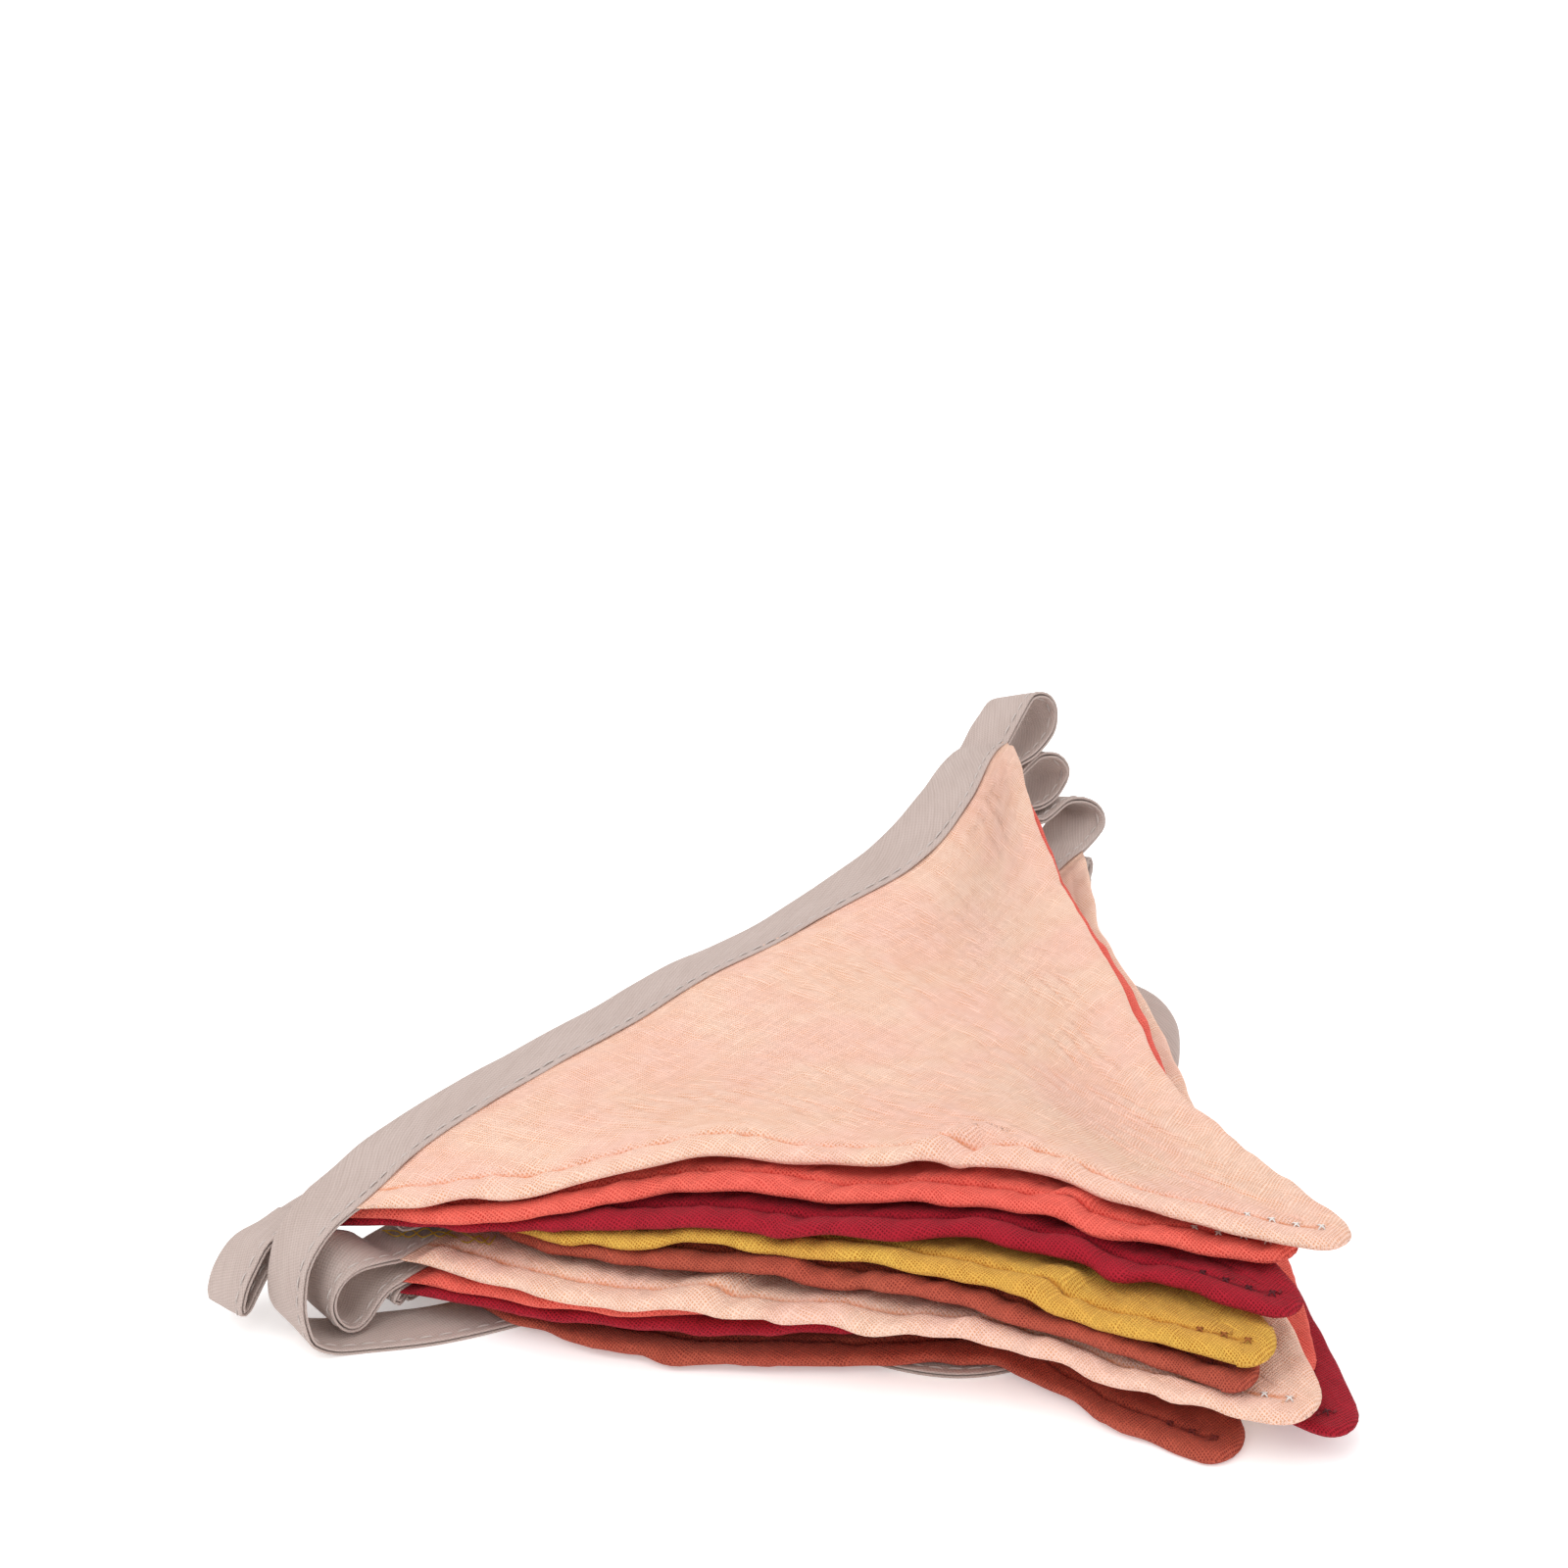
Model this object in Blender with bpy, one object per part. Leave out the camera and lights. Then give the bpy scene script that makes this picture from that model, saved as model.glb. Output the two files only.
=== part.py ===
"""A fabric bunting, folded up for storage.

Ten triangular flags of double gauze are sewn to one long folded bias tape.  The string
of flags lies back and forth on itself as a loose pile: every flag is one layer, the tape
runs along the layers' left side, turns over in a loose fold at each end of the pile, and
its two free ends lie on the ground below the lowest flag.

Lengths in the tables are in millimetres.  X runs to the right, Y away from the viewer and
Z up, and the ground is at Z = 0.
"""

import math
from dataclasses import dataclass

import bmesh
import bpy
from mathutils import Vector

MM = 0.001
# The place in the tables' frame that becomes the origin: under the middle of the pile,
# where the lowest flag lies flat on the ground.
ORIGIN = (30.0, -14.0, 0.0)

# ---- the tape ----------------------------------------------------------------------
TAPE_WIDTH = 10.8
TAPE_THICKNESS = 1.2
TAPE_EDGE_ROUND = 0.7
TAPE_REST_HEIGHT = 0.5 * TAPE_THICKNESS
STRAIGHT_STEP = 12.0
FOLD_STEP = 2.4
# Bend in radians, between two rows, above which a loose stretch gets the finer step.
FOLD_BEND = 0.15
# Share of a side over which its direction is taken.
SIDE_SAMPLE = 0.01
TINY = 1e-6

# ---- the flags ---------------------------------------------------------------------
CLEARANCE = 0.35
SEAM_GAP = 0.3
CLOTH_MIDDLE = 1.5
CLOTH_RIM = 0.8
RIM_BULGE = 0.6
# Thickness of the turned hem over the distance from a flag's free edge.
HEM_PROFILE = (
    # distance, thickness
    (0.0, CLOTH_RIM),
    (2.6, 2.1),
    (5.6, 1.15),
    (9.5, 1.7),
    (16.0, CLOTH_MIDDLE),
)
HEM_ROWS = (0.0, 2.6, 5.6, 9.5)
OPEN_ROWS = 9
TOP_OPEN_ROWS = 13
FLAG_DEPTH = 154.0
BLUNT_FROM = 0.927
BLUNT_SHARE = 0.342
TIP_RADIUS = 7.6
EDGE_REACH = 34.0

# ---- colours -----------------------------------------------------------------------
COLOURS = {
    "peach": (0.91, 0.58, 0.42, 1.0),
    "coral": (0.80, 0.12, 0.08, 1.0),
    "burgundy": (0.36, 0.012, 0.030, 1.0),
    "mustard": (0.74, 0.43, 0.06, 1.0),
    "rust": (0.50, 0.10, 0.055, 1.0),
    "taupe": (0.58, 0.47, 0.43, 1.0),
}
CLOTH_ROUGHNESS = 0.9


@dataclass(frozen=True)
class Layer:
    """One flag of the pile, seen from above, and the heights of its underside.

    near, far and tip are the flag's corners, and the tape runs from near to far.  The
    waves say how far each side bows outwards: the front from near to tip, the back from
    far to tip and the spine from near to far, at evenly spaced places between corners.
    """

    colour: str
    near: tuple
    far: tuple
    tip: tuple
    near_height: float
    far_height: float
    tip_height: float
    body_height: float
    front: tuple
    back: tuple
    spine: tuple


# The pile from the ground up.
LAYERS = (
    Layer("rust", (-61.0, -37.0), (57.0, 96.0), (80.0, -91.3), 0.0, 0.0, 0.0, 0.0,
          (6.2, 5.5, -2.6, -12.1, -4.0), (-2.0, -2.0, 0.0), (-2.0, -6.0, -9.0, -8.0)),
    Layer("mustard", (-62.0, -41.0), (58.0, 92.0), (85.7, -83.4), 3.6, 5.0, 3.0, 3.8,
          (-2.0, -6.0, -13.0, -20.0, -14.0), (-6.0, -6.0, -5.0), (-2.0, -6.0, -9.0, -8.0)),
    Layer("burgundy", (-64.0, -46.0), (60.0, 91.0), (99.4, -92.1), 5.8, 7.6, 5.2, 6.6,
          (1.2, -1.2, -10.0, -16.0, -10.0), (-5.0, -3.0, 1.0), (-2.0, -6.0, -9.0, -8.0)),
    Layer("coral", (-63.0, -46.0), (61.0, 91.0), (92.2, -80.2), 8.0, 10.6, 7.4, 9.4,
          (4.0, 1.2, -4.5, -8.0, -5.0), (-8.0, -4.0, 4.0), (-2.0, -6.0, -9.0, -8.0)),
    Layer("peach", (-63.5, -45.0), (60.9, 94.0), (93.2, -92.1), 11.9, 13.6, 9.6, 12.2,
          (5.1, 2.1, -0.7, -3.9, -0.1), (-3.7, -0.9, -1.2, -1.7, -1.0),
          (-2.0, -5.0, -8.0, -8.0)),
    Layer("rust", (-56.0, -36.0), (51.0, 92.5), (83.1, -89.1), 14.7, 22.2, 12.8, 16.6,
          (5.6, 3.4, -0.5, -2.9, -3.3), (-9.0, -6.0, -4.0), (3.2, -1.6, -5.8, -7.2)),
    Layer("mustard", (-57.5, -36.5), (48.5, 93.0), (86.4, -86.2), 16.9, 24.4, 16.6, 20.4,
          (5.8, 2.3, -1.0, -2.3, -0.9), (-9.0, -8.0, -5.0), (3.2, -1.6, -5.8, -7.2)),
    Layer("burgundy", (-77.0, -41.2), (46.0, 94.0), (92.2, -79.1), 18.2, 29.8, 20.6, 24.2,
          (0.2, -0.4, -1.8, -7.9, -5.9), (-6.0, -8.0, -7.0), (-2.5, -5.0, -8.6, -10.0)),
    Layer("coral", (-78.0, -41.6), (46.0, 94.2), (92.6, -67.4), 20.3, 33.4, 24.6, 27.9,
          (3.8, -1.2, -1.9, -5.3, -1.8), (-3.6, -4.2, -8.4), (-2.5, -6.0, -9.3, -10.8)),
    Layer("peach", (-70.4, -46.4), (45.6, 93.9), (102.0, -68.4), 23.4, 39.4, 28.6, 31.5,
          (-2.1, -7.9, -10.0, -12.0, -2.2), (-6.0, -9.2, -11.8, -15.0, -8.4),
          (3.7, -1.2, -2.8, -3.6, -7.2, -12.4, -8.7)),
)

# Places seen from above that carry the heights: the pile's corners, and its body.
NEAR_PLACE = (-75.0, -45.0)
FAR_PLACE = (48.0, 95.0)
TIP_PLACE = (92.0, -70.0)
BODY_PLACES = (
    # x, y, share of the body height
    (5.0, -48.0, 1.04),
    (-20.0, 15.0, 0.92),
    (30.0, 0.0, 1.00),
    (62.0, 20.0, 1.05),
)
HEIGHT_SPREAD = 26.0
# The line along which the pile is sewn to its tape, and how the pile falls away beside it
# over the share of the line's length.
SPINE_NEAR = (-72.2, -44.2)
SPINE_FAR = (45.0, 94.6)
SPINE_FALL = ((0.0, 0.0145), (0.3, 0.0095), (0.5, 0.009), (0.75, 0.0145), (1.0, 0.0125))
TOP_SPINE_FALL = ((0.0, 0.0), (0.18, 0.001), (0.35, 0.006), *SPINE_FALL[2:])
SPINE_FALL_START = 9.0
SPINE_FALL_ROUND = 14.0
RIPPLE_SHARE = 0.025
RIPPLE_LENGTH = 52.0
RIPPLE_SKEW = 0.3
RIPPLE_CROSS = 0.6
RIPPLE_START = 0.9


@dataclass(frozen=True)
class Fold:
    """A loose turn of the tape between two layers, as the path of its stitched edge.

    Each row is (out, aside, height, lean): the distance from the corner along the heading
    and to the right of it, the height above the ground, and the angle in degrees by which
    the outer edge is raised.
    """

    corner: tuple
    heading: float
    outer: float
    rows: tuple


# From the top of the pile down, at the far end.
FAR_FOLDS = (
    Fold((45.0, 94.6), 56.0, 150.0, (
        (4.0, 0.2, 40.5, -18.0), (7.6, -0.2, 42.0, -20.0), (12.5, -0.9, 43.0, -21.0),
        (15.9, 0.0, 42.0, -22.0), (17.6, 0.8, 39.5, -22.0), (17.6, 1.2, 36.8, -22.0),
        (15.0, 1.9, 34.6, -21.0), (8.6, 2.4, 33.4, -20.0), (4.0, 2.2, 33.3, -18.0))),
    Fold((47.5, 93.5), 56.0, 150.0, (
        (2.6, -0.9, 30.0, -14.0), (6.5, -0.9, 30.8, -17.0), (11.0, -0.8, 31.1, -18.0),
        (14.4, 0.8, 30.0, -18.0), (15.9, 2.0, 27.6, -18.0), (16.3, 2.1, 25.2, -18.0),
        (14.2, 2.0, 23.2, -17.0), (10.2, 2.2, 22.5, -16.0), (5.4, 2.0, 22.9, -14.0))),
    Fold((56.0, 92.0), 56.0, 150.0, (
        (0.0, -3.8, 21.2, -8.0), (3.7, -3.9, 20.8, -12.0), (9.5, -4.2, 20.6, -14.0),
        (12.6, -3.9, 20.2, -14.0), (15.5, -2.9, 19.2, -14.0), (17.7, -1.8, 17.4, -10.0),
        (18.3, -0.6, 15.4, -4.0), (17.3, 0.3, 13.7, 4.0), (14.7, 0.6, 12.9, 8.0),
        (8.6, 1.6, 13.0, 2.0))),
    Fold((60.8, 90.5), 54.0, 144.0, (
        (3.0, -0.8, 10.6, -6.0), (5.0, -2.0, 10.3, -8.0), (6.8, -2.8, 10.1, -8.0),
        (8.3, -3.4, 9.4, -8.0), (8.7, -3.4, 8.4, -8.0), (7.9, -2.9, 7.5, -7.0),
        (5.4, -1.6, 7.3, -5.0), (3.0, 0.0, 7.6, -2.0))),
    Fold((57.5, 94.0), 54.0, 144.0, (
        (2.2, 0.0, 5.2, 0.0), (4.2, 0.0, 4.8, 0.0), (5.3, 0.0, 3.8, 0.0),
        (5.0, 0.0, 2.4, 0.0), (3.6, 0.0, 1.4, 0.0), (2.0, 0.0, 0.9, 0.0))),
)

# From the top of the pile down, at the near end.
NEAR_FOLDS = (
    Fold((-78.0, -41.6), 226.0, 130.0, (
        (1.5, 0.7, 19.2, -18.0), (5.1, 1.6, 18.0, -19.0), (9.0, 2.7, 16.4, -17.0),
        (12.1, 2.5, 13.8, -11.0), (15.0, 2.0, 11.0, -9.0), (16.9, 1.2, 8.2, -9.0),
        (16.6, 1.5, 6.5, -9.0), (14.7, 2.2, 6.1, -9.0), (12.0, 3.0, 7.9, -10.0),
        (8.7, 3.2, 11.2, -12.0), (4.4, 2.2, 15.0, -15.0))),
    Fold((-56.7, -36.3), 212.0, 124.0, (
        (2.6, -0.2, 17.6, -10.0), (5.6, -0.3, 17.5, -11.0), (8.0, 0.0, 17.2, -11.0),
        (9.0, 0.2, 16.6, -11.0), (8.2, 0.2, 15.9, -11.0), (5.6, 0.0, 15.6, -10.0),
        (2.6, 0.0, 15.6, -8.0))),
    Fold((-63.4, -45.4), 218.0, 128.0, (
        (4.5, 0.0, 13.9, 5.0), (9.0, 0.0, 14.4, 14.0), (12.3, 0.0, 13.3, 16.0),
        (14.2, 0.0, 10.8, 11.0), (14.5, 0.0, 8.2, 5.0), (13.6, 0.0, 5.5, 1.0),
        (11.8, 0.0, 3.3, 0.0), (9.6, 0.0, 2.7, 0.0), (7.6, 0.0, 3.7, 0.0),
        (5.8, 0.0, 5.7, 0.0), (3.4, 0.0, 7.7, 0.0))),
    Fold((-64.0, -46.0), 222.0, 132.0, (
        (0.8, 0.0, 6.1, 0.0), (1.4, 0.0, 5.2, 0.0), (0.4, 0.0, 4.4, 0.0))),
)

# The free ends: (x, y, height) of the stitched edge, and the outer edge's bearing and lean.
TOP_END = (
    (-74.6, -48.9, 21.8, 142.0, -4.0),
    (-77.2, -52.6, 19.8, 139.0, -10.0),
    (-78.8, -55.2, 17.4, 134.0, -14.0),
    (-79.4, -56.6, 14.4, 133.0, -15.0),
    (-79.5, -57.7, 10.7, 130.0, -14.0),
    (-79.0, -58.0, 6.9, 123.0, -10.0),
    (-78.0, -57.8, 3.6, 116.0, -4.0),
    (-75.0, -56.4, 1.3, 111.0, -1.0),
    (-70.8, -55.2, TAPE_REST_HEIGHT, 108.0, 0.0),
    (-60.0, -53.2, TAPE_REST_HEIGHT, 101.0, 0.0),
    (-52.0, -50.6, TAPE_REST_HEIGHT, 106.0, 0.0),
    (-43.4, -47.0, TAPE_REST_HEIGHT, 112.0, 0.0),
    (-35.0, -43.6, TAPE_REST_HEIGHT, 108.0, 0.0),
    (-24.0, -41.5, TAPE_REST_HEIGHT, 94.0, 0.0),
    (-12.0, -43.0, TAPE_REST_HEIGHT, 78.0, 0.0),
    (0.0, -47.8, TAPE_REST_HEIGHT, 64.0, 0.0),
    (10.0, -54.0, TAPE_REST_HEIGHT, 60.0, 0.0),
    (20.0, -59.6, TAPE_REST_HEIGHT, 70.0, 0.0),
    (30.0, -62.2, TAPE_REST_HEIGHT, 88.0, 0.0),
    (39.0, -61.0, TAPE_REST_HEIGHT, 104.0, 0.0),
    (48.0, -56.5, TAPE_REST_HEIGHT, 122.0, 0.0),
    (57.0, -49.5, TAPE_REST_HEIGHT, 130.0, 0.0),
)
BOTTOM_END = (
    (-62.8, -39.1, 2.20, 138.0, 0.0),
    (-63.3, -39.7, 1.96, 138.0, 0.0),
    (-63.5, -39.9, 1.40, 138.0, 0.0),
    (-63.3, -39.7, 0.84, 138.0, 0.0),
    (-62.8, -39.1, TAPE_REST_HEIGHT, 138.0, 0.0),
    (-60.0, -36.0, TAPE_REST_HEIGHT, 138.0, 0.0),
    (-45.0, -20.0, TAPE_REST_HEIGHT, 137.0, 0.0),
    (-25.0, -1.0, TAPE_REST_HEIGHT, 134.0, 0.0),
    (0.0, 20.0, TAPE_REST_HEIGHT, 130.0, 0.0),
    (25.0, 40.0, TAPE_REST_HEIGHT, 126.0, 0.0),
    (40.0, 51.5, TAPE_REST_HEIGHT, 124.0, 0.0),
    (50.0, 57.0, TAPE_REST_HEIGHT, 112.0, 0.0),
    (58.4, 59.2, TAPE_REST_HEIGHT, 85.0, 0.0),
    (64.2, 56.2, TAPE_REST_HEIGHT, 45.0, 0.0),
    (66.2, 50.7, TAPE_REST_HEIGHT, 15.0, 0.0),
    (66.1, 44.0, TAPE_REST_HEIGHT, 0.0, 0.0),
    (64.8, 35.0, TAPE_REST_HEIGHT, -8.0, 0.0),
    (61.5, 23.0, TAPE_REST_HEIGHT, -14.0, 0.0),
)
END_COVER_HEIGHT = 1.6
END_COVER_FLAT = 15.0
END_COVER_REACH = 30.0
# Rows of the free ends from which they lie on the ground under the lowest flag.
TOP_END_GROUND = 8
BOTTOM_END_GROUND = 4


# ---- small maths -------------------------------------------------------------------
def smooth_step(low, high, value):
    """Ease from 0 at low to 1 at high."""
    share = min(1.0, max(0.0, (value - low) / (high - low)))
    return share * share * (3.0 - 2.0 * share)


def bell(x, y, place, spread):
    """Weight of a place at (x, y): one at the place, falling off around it."""
    return math.exp(-((x - place[0]) ** 2 + (y - place[1]) ** 2) / (2.0 * spread ** 2))


def table_value(rows, place):
    """Read a table of (place, value) rows with straight lines between the rows."""
    if place <= rows[0][0]:
        return rows[0][1]
    for (low, low_value), (high, high_value) in zip(rows, rows[1:]):
        if place <= high:
            return low_value + (high_value - low_value) * (place - low) / (high - low)
    return rows[-1][1]


def curve_value(values, share):
    """Read evenly spaced values, with zero at both ends, as a smooth curve."""
    knots = (0.0, *values, 0.0)
    place = share * (len(knots) - 1)
    index = min(int(place), len(knots) - 2)
    part = place - index
    before = knots[max(index - 1, 0)]
    after = knots[min(index + 2, len(knots) - 1)]
    return catmull_rom(before, knots[index], knots[index + 1], after, part)


def catmull_rom(before, start, end, after, part):
    """A smooth curve through start and end, for numbers and vectors alike."""
    square = part * part
    cube = square * part
    return 0.5 * (
        2.0 * start
        + (end - before) * part
        + (2.0 * before - 5.0 * start + 4.0 * end - after) * square
        + (3.0 * start - before - 3.0 * end + after) * cube
    )


def bearing(degrees, lean=0.0):
    """Unit vector at a bearing in the ground plane, raised by the lean."""
    turn = math.radians(degrees)
    rise = math.radians(lean)
    flat = math.cos(rise)
    return Vector((math.cos(turn) * flat, math.sin(turn) * flat, math.sin(rise)))


# ---- the pile's heights ------------------------------------------------------------
def spine_sag(index, x, y):
    """Share by which the pile is lower outside its spine, where the tape hangs over."""
    start = Vector(SPINE_NEAR)
    along = Vector(SPINE_FAR) - start
    place = Vector((x, y)) - start
    share = place.dot(along) / along.length_squared
    outward = (along.x * place.y - along.y * place.x) / along.length
    beyond = max(0.0, outward + SPINE_FALL_START)
    if beyond < SPINE_FALL_ROUND:
        fall = 0.5 * beyond * beyond / SPINE_FALL_ROUND
    else:
        fall = beyond - 0.5 * SPINE_FALL_ROUND
    strength = TOP_SPINE_FALL if index == len(LAYERS) - 1 else SPINE_FALL
    return table_value(strength, share) * fall


def ripple(x, y):
    """Soft waves that every layer of the pile shares."""
    turn = 2.0 * math.pi / RIPPLE_LENGTH
    across = math.sin(turn * (x + RIPPLE_SKEW * y) + RIPPLE_START)
    along = math.cos(turn * RIPPLE_CROSS * (y - RIPPLE_SKEW * x))
    return across * along


def end_cover(x, y):
    """Height to which the lowest flag is lifted where it lies over a free end."""
    nearest = min(
        math.hypot(x - place_x, y - place_y) for place_x, place_y in END_PLACES
    )
    return END_COVER_HEIGHT * (1.0 - smooth_step(END_COVER_FLAT, END_COVER_REACH, nearest))


def underside(index, x, y):
    """Height of a layer's underside over the plan point (x, y)."""
    if index == 0:
        return end_cover(x, y)
    layer = LAYERS[index]
    pairs = [
        (bell(x, y, NEAR_PLACE, HEIGHT_SPREAD), layer.near_height),
        (bell(x, y, FAR_PLACE, HEIGHT_SPREAD), layer.far_height),
        (bell(x, y, TIP_PLACE, HEIGHT_SPREAD), layer.tip_height),
    ]
    for place_x, place_y, share in BODY_PLACES:
        weight = bell(x, y, (place_x, place_y), HEIGHT_SPREAD)
        pairs.append((weight, layer.body_height * share))
    total = sum(weight for weight, _ in pairs)
    height = sum(weight * value for weight, value in pairs) / total
    return height * (1.0 - spine_sag(index, x, y)) * (1.0 + RIPPLE_SHARE * ripple(x, y))


def cloth_thickness(index, x, y, edge_distance):
    """Thickness of a flag, from its hem's profile and the room below the next layer."""
    thickness = table_value(HEM_PROFILE, edge_distance)
    if index + 1 < len(LAYERS):
        room = underside(index + 1, x, y) - underside(index, x, y) - CLEARANCE
        thickness = min(thickness, room)
    return thickness


# ---- the flags ---------------------------------------------------------------------
def flag_point(layer, near_share, far_share, tip_share):
    """Plan point of a flag at the given shares of its three corners."""
    near, far, tip = Vector(layer.near), Vector(layer.far), Vector(layer.tip)
    if tip_share > BLUNT_FROM:
        kept = BLUNT_FROM + (tip_share - BLUNT_FROM) * BLUNT_SHARE
        pointed = (1.0 - tip_share) * 0.5 * (far - near).length
        end_share = BLUNT_FROM + (1.0 - BLUNT_FROM) * BLUNT_SHARE
        depth = (end_share - kept) * FLAG_DEPTH
        rounded = math.sqrt(max(0.0, depth * (2.0 * TIP_RADIUS - depth)))
        widening = rounded / pointed if pointed > TINY else 1.0
        lean = 0.5 * (far_share - near_share) * widening
        rest = 0.5 * (1.0 - kept)
        near_share, far_share, tip_share = rest - lean, rest + lean, kept
    point = near * near_share + far * far_share + tip * tip_share
    sides = (
        # wave, start corner, end corner, share along the side, share of the far corner
        (layer.front, near, tip, near_share, tip_share, far_share, -1.0),
        (layer.back, far, tip, far_share, tip_share, near_share, 1.0),
        (layer.spine, near, far, near_share, far_share, tip_share, 1.0),
    )
    for wave, start, end, start_share, end_share, away, side in sides:
        along = (end - start).normalized()
        outward = Vector((-along.y, along.x)) * side
        total = start_share + end_share
        if total < TINY:
            continue
        fade = math.exp(-((away * FLAG_DEPTH / EDGE_REACH) ** 2))
        point = point + outward * curve_value(wave, end_share / total) * fade
    return point


def open_rows(index):
    """Number of rows between a flag's hems: more on the top flag."""
    return TOP_OPEN_ROWS if index == len(LAYERS) - 1 else OPEN_ROWS


def row_shares(rows):
    """Shares of a flag's depth at which its rows lie, closer together along a hem."""
    start = [distance / FLAG_DEPTH for distance in HEM_ROWS]
    span = 1.0 - 2.0 * start[-1]
    middle = [start[-1] + span * row / rows for row in range(1, rows)]
    return start + middle + [1.0 - share for share in reversed(start)]


def flag_mesh(index):
    """Closed mesh of one flag: its top, its underside and a rounded rim."""
    layer = LAYERS[index]
    shares = row_shares(open_rows(index))
    last = len(shares) - 1
    mesh = bmesh.new()
    upper, lower = {}, {}
    for row in range(last + 1):
        for column in range(last + 1 - row):
            near_share, far_share = shares[row], shares[column]
            tip_share = max(0.0, 1.0 - near_share - far_share)
            x, y = flag_point(layer, near_share, far_share, tip_share)
            distance = min(near_share, far_share) * FLAG_DEPTH
            height = underside(index, x, y)
            thickness = cloth_thickness(index, x, y, distance)
            lower[row, column] = mesh.verts.new((x, y, height))
            upper[row, column] = mesh.verts.new((x, y, height + thickness))
    for row in range(last):
        for column in range(last - row):
            corners = ((row, column), (row + 1, column), (row, column + 1))
            mesh.faces.new([upper[corner] for corner in corners])
            mesh.faces.new([lower[corner] for corner in reversed(corners)])
            if row + column + 1 < last:
                corners = ((row + 1, column), (row + 1, column + 1), (row, column + 1))
                mesh.faces.new([upper[corner] for corner in corners])
                mesh.faces.new([lower[corner] for corner in reversed(corners)])
    add_rim(mesh, upper, lower, last)
    return mesh


def rim_corners(last):
    """Grid places round a flag's rim: up the front, along the tape, down the back."""
    front = [(row, 0) for row in range(last)]
    spine = [(last - step, step) for step in range(last)]
    back = [(0, last - step) for step in range(last)]
    return front + spine + back


def add_rim(mesh, upper, lower, last):
    """Close the edge between a flag's two faces, bulging a little outside the tape."""
    corners = rim_corners(last)
    middles = []
    for place, corner in enumerate(corners):
        before = lower[corners[place - 1]].co
        after = lower[corners[(place + 1) % len(corners)]].co
        along = Vector((after.x - before.x, after.y - before.y)).normalized()
        row, column = corner
        on_spine = row + column == last
        bulge = 0.0 if on_spine else RIM_BULGE
        centre = 0.5 * (upper[corner].co + lower[corner].co)
        outward = Vector((-along.y, along.x, 0.0)) * bulge
        middles.append(mesh.verts.new(centre + outward))
    for place, corner in enumerate(corners):
        following = (place + 1) % len(corners)
        neighbour = corners[following]
        mesh.faces.new((upper[corner], upper[neighbour], middles[following], middles[place]))
        mesh.faces.new((middles[place], middles[following], lower[neighbour], lower[corner]))


# ---- the tape ----------------------------------------------------------------------
def spine_stations(index):
    """The tape along one flag, from near to far, as (point, side vector, sewn) rows."""
    layer = LAYERS[index]
    stations = []
    for share in row_shares(open_rows(index)):
        point = flag_point(layer, 1.0 - share, share, 0.0)
        later = min(1.0, share + SIDE_SAMPLE)
        earlier = max(0.0, share - SIDE_SAMPLE)
        ahead = flag_point(layer, 1.0 - later, later, 0.0)
        behind = flag_point(layer, 1.0 - earlier, earlier, 0.0)
        along = (ahead - behind).normalized()
        outward = Vector((-along.y, along.x))
        inner = point + outward * SEAM_GAP
        outer = inner + outward * TAPE_WIDTH
        start = Vector((*inner, underside(index, *inner) + TAPE_REST_HEIGHT))
        end = Vector((*outer, underside(index, *outer) + TAPE_REST_HEIGHT))
        stations.append((start, (end - start).normalized(), True))
    return stations


def fold_stations(fold):
    """The tape round one fold, as stations like those along a flag."""
    corner = Vector((*fold.corner, 0.0))
    heading = bearing(fold.heading)
    right = bearing(fold.heading - 90.0)
    stations = []
    for out, aside, height, lean in fold.rows:
        point = corner + heading * out + right * aside
        point.z = height
        stations.append((point, bearing(fold.outer, lean), False))
    return stations


def end_stations(rows):
    """The tape along a free end."""
    return [
        (Vector((x, y, height)), bearing(turn, lean), False)
        for x, y, height, turn, lean in rows
    ]


def tape_route():
    """All stations of the tape, from the top flag's free end to the bottom flag's."""
    runs = [spine_stations(index) for index in range(len(LAYERS))]
    route = list(reversed(end_stations(TOP_END)))
    for place in range(len(LAYERS) // 2):
        upper = runs[-1 - 2 * place]
        lower = runs[-2 - 2 * place]
        route += upper
        route += fold_stations(FAR_FOLDS[place])
        route += list(reversed(lower))
        if place < len(NEAR_FOLDS):
            route += fold_stations(NEAR_FOLDS[place])
    return route + end_stations(BOTTOM_END)


def smooth_route(route):
    """Add stations on a smooth curve wherever loose ones lie far apart."""
    smooth = []
    for index in range(len(route) - 1):
        before = route[max(index - 1, 0)]
        start, end = route[index], route[index + 1]
        after = route[min(index + 2, len(route) - 1)]
        distance = (end[0] - start[0]).length
        bend = start[1].angle(end[1]) + turn_angle(before[0], start[0], end[0], after[0])
        step = FOLD_STEP if bend > FOLD_BEND else STRAIGHT_STEP
        sewn = start[2] and end[2]
        count = 1 if sewn else max(1, int(round(distance / step)))
        for part in range(count):
            share = part / count
            point = catmull_rom(before[0], start[0], end[0], after[0], share)
            side = catmull_rom(before[1], start[1], end[1], after[1], share)
            point.z = max(point.z, TAPE_REST_HEIGHT)
            smooth.append((point, side.normalized()))
    smooth.append(route[-1][:2])
    return smooth


def turn_angle(before, start, end, after):
    """How much a line turns at the two ends of the stretch from start to end."""
    into, through, out = start - before, end - start, after - end
    turn = 0.0
    if into.length > TINY:
        turn = into.angle(through)
    if out.length > TINY:
        turn = max(turn, through.angle(out))
    return turn


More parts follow.
